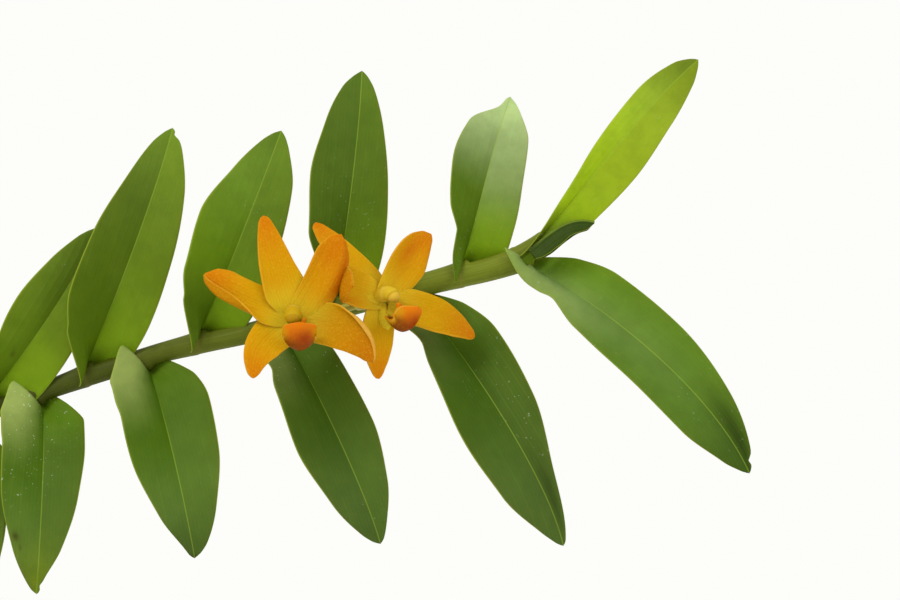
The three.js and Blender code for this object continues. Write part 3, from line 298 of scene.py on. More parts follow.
# Curves and small maths
def unit(vectors):
    """Vectors at length one."""
    vectors = np.asarray(vectors, float)
    return vectors / np.maximum(np.linalg.norm(vectors, axis=-1, keepdims=True), 1e-9)


def smooth(start, end, t):
    """0 before start, 1 after end, and an even rise between them."""
    x = np.clip((np.asarray(t, float) - start) / (end - start), 0, 1)
    return x * x * (3 - 2 * x)


def toward(value, other, share):
    """A value moved toward another by a share."""
    return value + (other - value) * share


def through(stations, values):
    """A smooth curve through values at stations that never swings past them."""
    x, y = np.array(stations, float), np.array(values, float)
    rise = np.diff(y) / np.diff(x)
    slope = np.concatenate([rise[:1], np.zeros(len(rise) - 1), rise[-1:]])
    for i in range(1, len(rise)):
        product = rise[i - 1] * rise[i]
        if product > 0:
            slope[i] = 2 * product / (rise[i - 1] + rise[i])

    def at(t):
        t = np.asarray(t, float)
        k = np.clip(np.searchsorted(x, t) - 1, 0, len(rise) - 1)
        span = x[k + 1] - x[k]
        a = np.clip((t - x[k]) / span, 0, 1)
        b = 1 - a
        return (y[k] * b * b * (1 + 2 * a) + y[k + 1] * a * a * (3 - 2 * a)
                + span * (slope[k] * a * b * b - slope[k + 1] * a * a * b))
    return at


def through_pairs(pairs):
    return through([p[0] for p in pairs], [p[1] for p in pairs])


class Track:
    """A line in space that is asked for points and directions at shares of its length."""

    def __init__(self, points):
        self.points = np.array(points, float)
        steps = np.linalg.norm(np.diff(self.points, axis=0), axis=1)
        self.lengths = np.concatenate([[0], np.cumsum(steps)])
        self.length = self.lengths[-1]
        self.headings = unit(np.gradient(self.points, self.lengths, axis=0))

    def _read(self, table, t):
        s = np.clip(t, 0, 1) * self.length
        return np.stack([np.interp(s, self.lengths, table[:, i]) for i in range(3)], -1)

    def point(self, t):
        return self._read(self.points, t)

    def heading(self, t):
        return unit(self._read(self.headings, t))


def bezier(p0, p1, p2, p3):
    """The track of a cubic curve."""
    t = np.linspace(0, 1, 300)[:, None]
    p0, p1, p2, p3 = (np.array(p, float) for p in (p0, p1, p2, p3))
    return Track(p0 * (1 - t) ** 3 + 3 * p1 * t * (1 - t) ** 2 + 3 * p2 * t * t * (1 - t) + p3 * t ** 3)


def strand(points):
    """The track of an even curve through points."""
    points = [np.array(p, float) for p in points]
    whole = [2 * points[0] - points[1], *points, 2 * points[-1] - points[-2]]
    line = []
    for a, b, c, d in zip(whole, whole[1:], whole[2:], whole[3:]):
        for t in np.linspace(0, 1, 24, endpoint=False):
            line.append(0.5 * (2 * b + (c - a) * t + (2 * a - 5 * b + 4 * c - d) * t * t
                               + (3 * b - a - 3 * c + d) * t ** 3))
    return Track(line + [points[-1]])


class Cane:
    """A cane that bends in one upright plane, given by its slope at lengths along it."""

    def __init__(self, values):
        self.values = values
        self.length = values["length"]
        self.slope = through_pairs(values["slopes"])
        self.radius = through_pairs(values["radii"])
        heading = math.radians(values["heading"])
        self.level = np.array([math.cos(heading), math.sin(heading), 0])
        self.side = np.array([self.level[1], -self.level[0], 0])
        steps = np.arange(math.ceil(self.length) + 2)
        moves = self.direction(steps + 0.5)
        self.track = np.array(values["foot"], float) + np.vstack([np.zeros(3), np.cumsum(moves, axis=0)])
        self.steps = np.arange(len(self.track))

    def direction(self, s):
        slope = np.radians(self.slope(s))[..., None]
        return self.level * np.cos(slope) + UP * np.sin(slope)

    def upward(self, s):
        slope = np.radians(self.slope(s))[..., None]
        return -self.level * np.sin(slope) + UP * np.cos(slope)

    def point(self, s):
        return np.stack([np.interp(s, self.steps, self.track[:, i]) for i in range(3)], -1)


def grain(points, pitch, seed=0):
    """A smooth random field from -1 to 1 that changes over about `pitch`, as a sum of slanted waves."""
    source = np.random.default_rng(seed)
    total = np.zeros(points.shape[:-1])
    for _ in range(7):
        wave = unit(source.normal(size=3)) * source.uniform(0.6, 1.6) * TURN / pitch
        total += np.sin(points @ wave + source.uniform(0, TURN))
    return total / 4


# Meshes
def deselect():
    for piece in bpy.context.selected_objects:
        piece.select_set(False)


def read_points(piece):
    """A piece's points, in millimetres."""
    points = np.zeros(3 * len(piece.data.vertices))
    piece.data.vertices.foreach_get("co", points)
    return points.reshape(-1, 3) / MM


def write_points(piece, points):
    """Puts a piece's points in place, given in millimetres."""
    piece.data.vertices.foreach_set("co", (np.asarray(points) * MM).ravel())
    piece.data.update()


def write_values(piece, **values):
    """Keeps numbers for each point of a piece, for its material."""
    for name, numbers in values.items():
        whole = np.ones(len(piece.data.vertices)) * numbers
        attribute = piece.data.attributes.new(name, "FLOAT", "POINT")
        attribute.data.foreach_set("value", whole.astype(np.float32))


def write_tone(piece, tone):
    """Keeps a colour for each point of a piece, for its material."""
    whole = np.ones((len(piece.data.vertices), 4))
    whole[:, :3] = tone
    attribute = piece.data.attributes.new("tone", "FLOAT_COLOR", "POINT")
    attribute.data.foreach_set("color", whole.astype(np.float32).ravel())


def apply_modifier(piece, kind, **settings):
    """Adds a modifier to a piece and applies it."""
    modifier = piece.modifiers.new(kind.lower(), kind)
    for name, value in settings.items():
        setattr(modifier, name, value)
    bpy.context.view_layer.objects.active = piece
    bpy.ops.object.modifier_apply(modifier=modifier.name)


def name_piece(piece, name):
    """Names the selected piece and smooths it."""
    piece.name = name
    piece.data.name = name
    bpy.ops.object.shade_smooth()
    return piece


def settle(piece, name, points):
    """Puts a closed piece's points in place, turns its faces outward, and names and smooths it."""
    write_points(piece, points)
    deselect()
    piece.select_set(True)
    bpy.context.view_layer.objects.active = piece
    bpy.ops.object.mode_set(mode="EDIT")
    bpy.ops.mesh.select_all(action="SELECT")
    bpy.ops.mesh.normals_make_consistent(inside=False)
    bpy.ops.object.mode_set(mode="OBJECT")
    return name_piece(piece, name)


def make_sheet(name, lattice, upper, lower):
    """A thin closed sheet over a lattice of points, with a skin above and one below it.
    Returns the piece, and the row, column and side of each of its points."""
    rows, columns = lattice["points"].shape[:2]
    deselect()
    bpy.ops.mesh.primitive_grid_add(x_subdivisions=columns - 1, y_subdivisions=rows - 1, size=2)
    piece = bpy.context.object
    apply_modifier(piece, "SOLIDIFY", thickness=1, offset=0)
    flat = read_points(piece) * MM
    column = np.rint((flat[:, 0] + 1) / 2 * (columns - 1)).astype(int)
    row = np.rint((flat[:, 1] + 1) / 2 * (rows - 1)).astype(int)
    above = flat[:, 2] > 0
    skin = np.where(above, upper[row, column], -lower[row, column])[:, None]
    settle(piece, name, lattice["points"][row, column] + lattice["normals"][row, column] * skin)
    return piece, row, column, above


def add_ball(rings, sides):
    """A sphere to be shaped. Returns it with the ring and the angle of each of its points."""
    deselect()
    bpy.ops.mesh.primitive_uv_sphere_add(segments=sides, ring_count=rings, radius=1)
    ball = unit(read_points(bpy.context.object) * MM)
    ring = np.rint(np.arccos(np.clip(-ball[:, 2], -1, 1)) / math.pi * rings).astype(int)
    return bpy.context.object, ring, np.arctan2(ball[:, 1], ball[:, 0])


def make_tube(name, track, radius, mesh, side=(0, 1, 0), nose=0.4):
    """A closed tube along a track. `radius` is asked for a share of its length and an angle around it.
    A `nose` rounds its two ends. Returns the piece with each point's share and angle."""
    rows = mesh[0]
    piece, ring, angle = add_ball(*mesh)
    share = np.clip((ring - 1) / (rows - 2), 0, 1)
    along = track.heading(share)
    across = unit(side - along * (along @ side)[:, None])
    outward = across * np.cos(angle)[:, None] + np.cross(across, along) * np.sin(angle)[:, None]
    end = np.where(ring == 0, -1, np.where(ring == rows, 1, 0))
    size = np.where(end == 0, radius(share, angle), 0)
    settle(piece, name, track.point(share) + outward * size[:, None] + along * nose * end[:, None])
    return piece, share, angle


def make_turned(name, outline, sides):
    """A closed turned piece. The outline runs from its middle below to its middle above."""
    piece, ring, angle = add_ball(len(outline) - 1, sides)
    r, z = np.array(outline, float)[ring].T
    return settle(piece, name, np.stack([r * np.cos(angle), r * np.sin(angle), z], -1))


def dress(piece, finish, node):
    """Gives a piece its finish and its place in the frame."""
    piece.data.materials.clear()
    piece.data.materials.append(finish)
    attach(piece, "root")
    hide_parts(node)


# Materials
def paint(red, green, blue):
    """A colour as it is seen, from 0 to 255, turned into light."""
    seen = np.array([red, green, blue]) / 255
    return np.where(seen <= 0.04045, seen / 12.92, ((seen + 0.055) / 1.055) ** 2.4)


def paints(**colours):
    return {name: paint(*colour) for name, colour in colours.items()}


# The grey leaf tone that outer halves and some spots go toward is a painted sheen.
LEAF_TONES = paints(deep=(50, 78, 6), fresh=(79, 112, 10), young=(132, 152, 8), haze=(150, 170, 112),
                    glow=(114, 148, 8), under=(80, 104, 32), bloom=(142, 158, 84), dry=(46, 34, 14))
# Spot tones: dry brown, painted sheen, yellow, and black for spots of painted shade.
SPOT_TONES = {"marks": LEAF_TONES["dry"], "painted_sheen_spots": LEAF_TONES["haze"] * 0.8,
              "warms": LEAF_TONES["young"] * 0.6, "painted_shade_spots": paint(0, 0, 0)}
# Petal tones; the red-orange spot tone paints shade in folds.
PETAL_TONES = paints(heart=(196, 174, 34), middle=(184, 140, 2), tip=(180, 102, 0), under=(158, 104, 2),
                     pale=(200, 160, 72), blush=(168, 74, 0))
# Column tones: a darker seam before the cap, and a pale painted highlight over the bend.
COLUMN_TONES = paints(seam=(146, 104, 2), brow=(214, 184, 84))
LIP_TONES = paints(rim=(198, 106, 0), bowl=(182, 94, 0), throat=(134, 44, 0), side=(186, 128, 6),
                   line=(196, 160, 56), low=(106, 52, 0))


class Reading:
    """A number in a material. Arithmetic on it adds Math nodes."""

    def __init__(self, finish, socket):
        self.finish = finish
        self.socket = socket

    def __add__(self, other):
        return self.finish.maths("ADD", self, other)

    def __sub__(self, other):
        return self.finish.maths("SUBTRACT", self, other)

    def __rsub__(self, other):
        return self.finish.maths("SUBTRACT", other, self)

    def __mul__(self, other):
        return self.finish.maths("MULTIPLY", self, other)

    def __abs__(self):
        return self.finish.maths("ABSOLUTE", self)

    __radd__ = __add__
    __rmul__ = __mul__


class Finish:
    """A material: its shader's fixed values, its colour so far, and the nodes that vary it. Its ground is
    one colour, or else the piece's own tone."""

    def __init__(self, name, ground=None, scatter=0, depth=1, gloss=0.35):
        self.material = bpy.data.materials.new(name)
        self.material.use_nodes = True
        self.tree = self.material.node_tree
        self.shader = self.tree.nodes["Principled BSDF"]
        self.shader.inputs["Subsurface Weight"].default_value = scatter
        self.shader.inputs["Subsurface Scale"].default_value = depth * MM
        self.shader.inputs["Specular IOR Level"].default_value = gloss
        self.place = self.node("ShaderNodeTexCoord", {}, {}, "Object")
        self.tone = paint(*ground) if ground else self.attribute("tone", "Color")

    def node(self, kind, settings, inputs, output=0):
        """Adds a node, sets it and its sockets, and returns one of its outputs."""
        node = self.tree.nodes.new(kind)
        for name, value in settings.items():
            setattr(node, name, value)
        for name, value in inputs.items():
            self.feed(node.inputs[name], value)
        return Reading(self, node.outputs[output])

    def feed(self, socket, value):
        if isinstance(value, Reading):
            self.tree.links.new(value.socket, socket)
        elif isinstance(value, np.ndarray):
            socket.default_value = (*value, 1)
        else:
            socket.default_value = value

    def maths(self, operation, *values):
        return self.node("ShaderNodeMath", {"operation": operation}, dict(enumerate(values)))

    def attribute(self, name, output="Fac"):
        return self.node("ShaderNodeAttribute", {"attribute_name": name}, {}, output)

    def noise(self, scale, detail=3, rough=0.5, place=None):
        """Cloudy noise over the piece's own place, or over another."""
        return self.node("ShaderNodeTexNoise", {}, {"Vector": place or self.place, "Scale": scale,
                                                    "Detail": detail, "Roughness": rough})

    def upright(self, stretch):
        """The piece's place with its heights stretched, for patterns in level layers."""
        return self.node("ShaderNodeVectorMath", {"operation": "MULTIPLY"},
                         {0: self.place, 1: (1, 1, stretch)})

    def lines(self, value, pace, scale, sway):
        """Waves from -1 to 1 that follow a value and are swayed by noise."""
        return self.maths("SINE", value * pace + self.noise(scale) * sway)

    def rise(self, value, start, end):
        """0 before start, 1 after end and an even rise between them."""
        return self.node("ShaderNodeMapRange", {"interpolation_type": "SMOOTHSTEP"},
                         {"Value": value, "From Min": start, "From Max": end}, "Result")

    def tint(self, share, colour, light=1):
        """Lays another colour over the colour so far."""
        self.tone = self.node("ShaderNodeMix", {"data_type": "RGBA"},
                              {"Factor": share, 6: self.tone, 7: paint(*colour) * light}, 2)

    def finished(self, rough, relief=None, height=0):
        """The material, with its roughness, and relief from 0 to 1 that stands `height` millimetres out."""
        self.feed(self.shader.inputs["Base Color"], self.tone)
        self.feed(self.shader.inputs["Roughness"], rough)
        if relief:
            bump = self.node("ShaderNodeBump", {}, {"Height": relief, "Distance": height * MM}, "Normal")
            self.feed(self.shader.inputs["Normal"], bump)
        return self.material


def leaf_finish():
    """Satin leaf: its own tone, pale fine veins, a lighter rim and midrib, and specks of dust."""
    f = Finish("leaf_skin", scatter=0.06, depth=2, gloss=0.06)
    across = f.attribute("across")
    lines = f.lines(across, TURN / 0.75, 60, 2)
    broad = f.lines(across, TURN / 2.3, 40, 3)
    mottle = f.noise(260, 4, 0.6)
    cloud = f.noise(75, 3, 0.6)
    f.tint(f.rise(cloud, 0.42, 0.7) * 0.05, (128, 152, 60))
    f.tint(f.rise(lines, 0.1, 1) * 0.025, (120, 144, 60))
    f.tint(f.rise(broad, 0.6, 1) * f.rise(cloud, 0.4, 0.65) * 0.04, (120, 144, 60))
    f.tint(f.rise(mottle, 0.35, 0.7) * 0.14, (40, 62, 12))
    f.tint((1 - f.rise(abs(across), 0.04, 0.24)) * f.attribute("rib"), (136, 158, 52))
    f.tint(f.rise(f.attribute("edge"), 0.975, 0.995) * 0.5, (146, 164, 50))
    dust = f.rise(f.noise(1700, 1), 0.7, 0.76) * f.rise(f.noise(30), 0.48, 0.62)
    f.tint(dust * f.attribute("dust"), (205, 215, 190))
    return f.finished(0.44 + mottle * 0.2 + dust * 0.3, lines * 0.1 + broad * 0.12 + mottle, 0.03)


def petal_finish():
    """Petal: its own golden tone, fine deeper veins and a sparkling cell texture."""
    f = Finish("petal_skin", scatter=0.12, depth=1.5, gloss=0.03)
    veins = f.lines(f.attribute("across"), TURN / 0.62, 200, 3)
    cells = f.noise(2600, 2, 0.7)
    f.tint(f.rise(veins, 0, 1) * 0.1, (168, 92, 0))
    f.tint(f.rise(f.noise(170, 3, 0.55), 0.35, 0.7) * 0.25, (186, 118, 4))
    f.tint(f.rise(cells, 0.45, 0.75) * 0.26, (210, 166, 44))
    f.tint(f.rise(f.attribute("edge"), 0.95, 0.99) * 0.3, (216, 164, 50))
    return f.finished(0.46 + cells * 0.15, veins * 0.25 + cells, 0.05)


def lip_finish():
    """Lip: its own orange tone, on fine cells."""
    f = Finish("lip_skin", scatter=0.08, gloss=0.07)
    cells = f.noise(2400, 2, 0.7)
    f.tint(f.rise(cells, 0.45, 0.8) * 0.2, (208, 124, 20))
    return f.finished(0.42 + cells * 0.15, cells, 0.03)


def column_finish():
    """Column: its own greenish yellow tone, waxy."""
    f = Finish("column_skin", scatter=0.1, gloss=0.07)
    cells = f.noise(1800, 2, 0.6)
    f.tint(f.rise(cells, 0.4, 0.8) * 0.3, (176, 148, 26))
    return f.finished(0.38 + cells * 0.15, cells, 0.02)


def stalk_finish():
    """Flower stalk: yellow-green with faint lengthwise lines."""
    f = Finish("stalk_skin", (176, 170, 64), scatter=0.15)
    lines = f.lines(f.attribute("around"), 6, 300, 3)
    f.tint(f.rise(lines, 0.2, 1) * 0.4, (150, 156, 58))
    f.tint(f.attribute("ring"), (206, 176, 70))
    return f.finished(0.45 + lines * 0.03, lines, 0.03)


def cane_finish(name, main, dark, light, dry, aged=0):
    """Cane skin: lengthwise streaks under a thin sheath, painted light paler below each joint, and dry brown
    flecks.
    An aged cane is darker and its sheaths are drier toward its foot."""
    f = Finish(name, main, gloss=0.12)
    along = f.attribute("along")
    grid = f.node("ShaderNodeCombineXYZ", {}, {0: f.attribute("around") * 9, 1: along * 0.05})
    streaks = f.noise(1, 4, 0.6, grid)
    mottle = f.noise(200, 4, 0.6)
    f.tint(f.rise(streaks, 0.35, 0.65) * 0.6, light)
    f.tint(f.rise(mottle, 0.5, 0.75) * 0.5, dark)
    # Painted light: paler toward each sheath's mouth.
    f.tint(f.attribute("ring") * 0.3, light)
    f.tint((1 - f.rise(along, 215, 305)) * aged, dark, 0.4)
    f.tint((1 - f.rise(along, 110, 175)) * f.rise(streaks, 0.25, 0.5) * (aged * 0.8), dry)
    f.tint(f.rise(f.noise(900, 3, 0.7), 0.62, 0.72) * 0.25 + f.attribute("mouth") * 0.3, dry)
    return f.finished(0.42 + mottle * 0.3, streaks * 0.8 + mottle * 0.4, 0.06)


def root_finish():
    """Root: a silvery spongy coat with brown stains, and a green growing tip."""
    f = Finish("root_coat", (150, 140, 116), gloss=0.2)
    coat = f.noise(900, 4, 0.65)
    f.tint(f.rise(coat, 0.35, 0.7), (205, 200, 184))
    f.tint(f.rise(f.noise(90, 3, 0.6), 0.5, 0.68) * 0.75, (122, 98, 66))
    f.tint(f.attribute("ring"), (132, 150, 70))
    return f.finished(0.75 + coat * 0.2, coat, 0.12)


def bark_finish():
    """Fir bark: layered red-brown cork, grey weathered faces and a little moss."""
    f = Finish("fir_bark", (74, 44, 26), gloss=0.2)
    layers = f.noise(160, 5, 0.65, f.upright(5))
    crumbs = f.noise(900, 4, 0.7)
    f.tint(f.rise(layers, 0.35, 0.65), (138, 88, 54))
    f.tint(f.attribute("shade") * 0.8, (104, 84, 66))
    f.tint(f.rise(crumbs, 0.55, 0.75) * 0.6, (48, 28, 16))
    f.tint(f.rise(f.noise(55, 3, 0.6), 0.6, 0.7) * f.rise(crumbs, 0.4, 0.55) * 0.55, (88, 104, 34))
    return f.finished(0.8 + crumbs * 0.2, layers * 0.7 + crumbs * 0.5, 0.4)


def clay_finish():
    """Fired clay: fine turning lines, sandy grains and a pale bloom of lime around mid-height."""
    f = Finish("fired_clay", (172, 92, 58), gloss=0.25)
    height = f.node("ShaderNodeSeparateXYZ", {}, {0: f.place}, "Z")
    sand = f.noise(1500, 4, 0.7)
    turning = f.noise(22, 3, 0.6, f.upright(60))
    f.tint(f.rise(f.noise(24, 4, 0.6), 0.35, 0.65), (196, 116, 78))
    f.tint(f.rise(turning, 0.45, 0.7) * 0.3, (150, 78, 48))
    belt = 1 - f.rise(abs(height - 0.05), 0.012, 0.05)
    f.tint(f.rise(f.noise(60, 5, 0.7), 0.5, 0.68) * belt * 0.42, (222, 198, 176))
    f.tint(f.rise(sand, 0.55, 0.8) * 0.35, (128, 66, 42))
    return f.finished(0.82 + sand * 0.15, sand * 0.5 + turning, 0.12)


def floor_finish():
    """Plain pale floor."""
    f = Finish("pale_floor", (238, 238, 234), gloss=0.1)
    f.tint(f.noise(40), (244, 244, 241))
    return f.finished(0.9)


# Blades
def spread_rows(count):
    """Shares from 0 to 1, closer together at both ends."""
    t = np.linspace(0, 1, count)
    return 0.45 * t + 0.55 * (1 - np.cos(math.pi * t)) / 2


def spread_columns(count):
    """Places from -1 to 1, closer together at the middle."""
    t = np.linspace(-1, 1, count)
    return np.sign(t) * (0.6 * abs(t) + 0.4 * abs(t) ** 1.6)


def run_out(slopes, reach):
    """How far sections run sideways and upward, from their slopes at even steps of a reach."""
    step = reach[:, None] / (slopes.shape[1] - 1)
    middle = (slopes[:, 1:] + slopes[:, :-1]) / 2
    start = np.zeros((len(slopes), 1))
    out = np.concatenate([start, np.cumsum(np.cos(middle) * step, axis=1)], axis=1)
    up = np.concatenate([start, np.cumsum(np.sin(middle) * step, axis=1)], axis=1)
    return out, up


def half_widths(form, hand, u, length):
    """A blade's half width along it, with its round tip, its round lobe at the base and its nicks."""
    lobed = hand == "near" and form.get("ear")
    hug = form["hug"][0 if hand == "near" else 1] * (EAR["growth"] if lobed else 1)
    half = through(WIDTH_AT, [hug, *form[hand], form.get("end", TIP_WIDTH)])(u)
    half *= np.sqrt(1 - np.clip(1 - (1 - u) * length / TIP_ROUND, 0, 1) ** 2)
    if lobed:
        half *= np.sqrt(1 - EAR["cut"] * np.clip(1 - u * length / EAR["reach"], 0, 1) ** 2)
    for side, at, deep, wide in form.get("nicks", []):
        if side == hand:
            half *= 1 - deep * np.exp(-((u - at) * length / wide) ** 2)
    return half + 0.02


def blade_lattice(form, rows, columns):
    """The middle surface of a blade, with its normals and each point's place on it."""
    track = bezier(*form["points"])
    u = spread_rows(rows + 1)
    w = spread_columns(columns + 1)
    along = track.heading(u)
    reference = np.array(form["reference"], float)
    side = unit(reference - along * (along @ reference)[:, None])
    face = form["row"] * np.cross(along, side)
    turn = np.radians(through(TURN_AT, form["turn"])(u))[:, None]
    across = side * np.cos(turn) - face * np.sin(turn)
    normal = face * np.cos(turn) + side * np.sin(turn)
    fold = np.radians(through(FOLD_AT, form["fold"])(u))
    start, peak, end = form.get("lobe_over", (1, 0.02, 1))
    back = form["lobe"] * (start + (1 - start) * smooth(0, peak, u)) * (1 - smooth(peak, end, u))
    points = np.zeros((len(u), len(w), 3))
    span = np.zeros((len(u), len(w)))
    fine = np.linspace(0, 1, 61)
    for hand, sign in (("near", 1), ("far", -1)):
        mine = w >= 0 if sign > 0 else w < 0
        opens = form.get("opens", CLASP_SHARE) if sign > 0 else CLASP_SHARE
        opened = smooth(0, opens, u) if form["clasp"] else np.ones(len(u))
        half = half_widths(form, hand, u, track.length)
        curl = through(CURL_AT, form.get("curl_" + hand, form["curl"]))(u)
        rim = np.radians(through(RIM_AT, form.get("rim_" + hand, STRAIGHT))(u))
        bent = rim[:, None] * smooth(*form.get("rim_over", (0.6, 1)), fine)
        slopes = fold[:, None] + curl[:, None] * half[:, None] * fine + bent
        x, y = run_out(slopes, half)
        x0, y0 = run_out(form["clasp"] * np.minimum(half[:, None] * fine, HUG_ARC), half)
        share = abs(w[mine])
        for i in range(len(u)):
            out, up, out0, up0 = (np.interp(share, fine, values[i])[:, None] for values in (x, y, x0, y0))
            spread = sign * out * across[i] + up * normal[i]
            held = sign * out0 * side[0] + up0 * face[0]
            points[i, mine] = track.point(u[i]) + held + (spread - held) * opened[i]
            span[i, mine] = w[mine] * half[i]
        points[:, mine] -= along[0] * (back[:, None] * np.maximum(w[mine], 0) ** 2)[..., None]
    normals = unit(np.cross(np.gradient(points, axis=0), np.gradient(points, axis=1)))
    centre = len(w) // 2
    facing = np.sign(np.sum(normals[:, centre] * normal, axis=1))
    return {"points": points, "normals": normals * facing[:, None, None], "u": u, "w": w, "span": span,
            "length": track.length}


def leaf_lattice(form, rows, columns, seed):
    """A leaf's surface with its waved margin."""
    lattice = blade_lattice(form, rows, columns)
    source = random.Random(seed)
    u, w = lattice["u"][:, None], lattice["w"][None, :]
    near_phase, far_phase = source.uniform(0, 6), source.uniform(0, 6)
    phase = np.where(w > 0, near_phase, far_phase)
    fade = smooth(0.15, 0.4, u) * (1 - smooth(0.85, 1, u))
    wave = LEAF_SKIN["wave"] * np.sin(u * LEAF_SKIN["waves"] * TURN + phase) * w * w * fade
    lattice["points"] = lattice["points"] + lattice["normals"] * wave[..., None]
    return lattice


def skin(values, lattice):
    """A blade's half thickness, less toward its margin, and the height of its fine veins."""
    thin = lattice["w"][None, :] ** 4
    veins = values["veins"] * np.cos(lattice["span"] * TURN / values["vein_gap"]) * (1 - thin)
    return values["middle"] + (values["margin"] - values["middle"]) * thin, veins


def spot(lattice, mark):
    """A soft spot on a blade, given by its place along and across, its reach each way and its strength."""
    u, w = lattice["u"][:, None, None], lattice["w"][None, :, None]
    at, across, long, wide, strength = mark
    return strength * np.exp(-((u - at) / long) ** 2 - ((w - across) / wide) ** 2)


def leaf_tones(form, lattice):
    """The broad colours of a leaf at each lattice point, with its painted light, shade and sheen."""
    u, w = lattice["u"][:, None, None], lattice["w"][None, :, None]
    side = np.sign(w)
    fresh = toward(LEAF_TONES["fresh"], LEAF_TONES["young"], form["youth"])
    # Deep green is the leaf's own colour; the near half going deeper than the far half is painted shade.
    tone = toward(fresh, LEAF_TONES["deep"], form["depth"] * (0.75 + 0.25 * side))
    # Painted sheen: the outer half greys toward the grey leaf tone.
    tone = toward(tone, LEAF_TONES["haze"], form["haze"] * smooth(0.2 + 0.15 * side, 0.85, u) * 0.9)
    tone = toward(tone, LEAF_TONES["glow"], form["glow"] * (1 - smooth(0.02, 0.5, u)) * (0.55 - 0.45 * side))
    # Painted light and shade: the brightness of the near and far halves, the base and the tip.
    near, far, base, tip = form["light"]
    light = toward(near, far, 1 - smooth(-0.06, 0.06, w))
    light = toward(light, base, 1 - smooth(0.06, 0.3, u))
    light = toward(light, tip, smooth(0.65, 1, u))
    bloom = form["bloom"] * smooth(0, 0.7, w) * (1 - smooth(0.02, 0.42, u))
    tone = toward(tone * light, LEAF_TONES["bloom"], bloom)
    # Spots: dry marks, painted sheen, yellow ones and painted shade.
    for kind, colour in SPOT_TONES.items():
        for mark in form.get(kind, []):
            tone = toward(tone, colour, spot(lattice, mark))
    return tone


def make_leaf(name, form, rows, columns, seed):
    """A leaf with a groove above and a keel below, its colours, and the values that its finish reads."""
    lattice = leaf_lattice(form, rows, columns, seed)
    body, veins = skin(LEAF_SKIN, lattice)
    rib = np.exp(-(lattice["span"] / LEAF_SKIN["rib"]) ** 2) * (1 - 0.6 * lattice["u"][:, None])
    upper = body + veins - LEAF_SKIN["groove"] * rib
    lower = body + veins + LEAF_SKIN["keel"] * rib
    piece, row, column, above = make_sheet(name, lattice, upper, lower)
    under = UNDERSIDE * (1 - above)[:, None] * (1 - form["youth"])
    # The back's dull tone is scaled by the leaf's painted light too.
    dull = LEAF_TONES["under"] * np.mean(form["light"])
    write_tone(piece, toward(leaf_tones(form, lattice)[row, column], dull, under))
    write_values(piece, across=lattice["span"][row, column], edge=abs(lattice["w"])[column],
                 rib=RIB_GLOW * smooth(0.04, 0.4, lattice["u"])[row], dust=form["dust"] * above)
    return piece


def midrib(base, direction, form):
    """Points that steer a midrib: it leaves its base along the cane and ends at its tip."""
    base = np.array(base)
    return [base, base + direction * form["lead"], base + form["belly"], base + form["tip"]]


def leaf_on(cane, leaf):
    """A leaf's form on its cane."""
    form = {**LEAF_FORM, **leaf}
    reach = cane.radius(leaf["at"]) + LEAF_GAP
    stand = leaf.get("from", cane.upward(leaf["at"]) * leaf["row"] * reach)
    points = midrib(cane.point(leaf["at"]) + stand, cane.direction(leaf["at"]), form)
    return {"clasp": 1 / reach, **form, "points": points, "reference": cane.side}


def small_leaf_on(cane, at, row, length):
    """The form of a leaf of the young cane or the shoot, whose base is sunk in its stem."""
    ways = np.array([cane.direction(at), cane.upward(at) * row, cane.side]) * length
    half = [share * SMALL_LEAF["half_of_length"] * length for share in SMALL_LEAF["half"]]
    form = leaf_on(cane, {**UPPER, "at": at, "row": row, "near": half, "far": half, "youth": 0.55, "lobe": 0,
                          "tip": SMALL_LEAF["tip"] @ ways, "belly": SMALL_LEAF["belly"] @ ways})
    form["points"][0] = cane.point(at)
    return {**form, "clasp": 0, "hug": (SMALL_LEAF["root"], SMALL_LEAF["root"])}


# Stems
def make_cane(name, cane, rings, leaves=()):
    """A cane in its sheaths: each ends in a slight step with a dry rim, below the next leaf or joint,
    and flares toward its leaf."""
    track = Track(cane.point(np.linspace(0, cane.length, cane.values["mesh"][0])))
    rings = np.array(rings, float)

    def mouth(s, reach):
        """How close a length is to the last sheath's mouth, from 0 to 1."""
        before = s[..., None] - rings
        return np.max(np.where(before < 0, np.exp(before / reach), 0), axis=-1)

    def flare(s, angle):
        """How far the sheaths flare toward their leaves."""
        total = 0 * s
        for at, row in leaves:
            past = s - at - FLARE["past"]
            rise = np.where(past < 0, np.exp(past / FLARE["reach"]), 1 - smooth(0, FLARE["drop"], past))
            total = np.maximum(total, FLARE["height"] * rise * np.maximum(row * np.sin(angle), 0) ** 2)
        return total

    def radius(share, angle):
        s = share * cane.length
        place = cane.point(s) + 3 * np.stack([np.cos(angle), np.sin(angle), 0 * angle], -1)
        rough = CANE_GRAIN["height"] * grain(place, CANE_GRAIN["pitch"], CANE_GRAIN["seed"])
        return cane.radius(s) + cane.values["step"] * mouth(s, JOINT_REACH) + flare(s, angle) + rough
    piece, share, angle = make_tube(name, track, radius, cane.values["mesh"], cane.side)
    s = share * cane.length
    rim = np.exp(-((s[:, None] - rings) / SHEATH_RIM) ** 2)
    write_values(piece, along=s, around=np.cos(angle) + 0.7 * np.sin(2 * angle),
                 ring=mouth(s, SHEATH_PAINTED_LIGHT), mouth=np.max(rim, axis=1))
    return piece


def add_main_cane(finish):
    cane = Cane(MAIN_CANE)
    rings = MAIN_CANE["joints"] + [leaf["at"] - SHEATH_END for leaf in LEAVES]
    piece = make_cane("main_cane_skin", cane, rings, [(leaf["at"], leaf["row"]) for leaf in LEAVES])
    dress(piece, finish, "main_cane")
    return cane


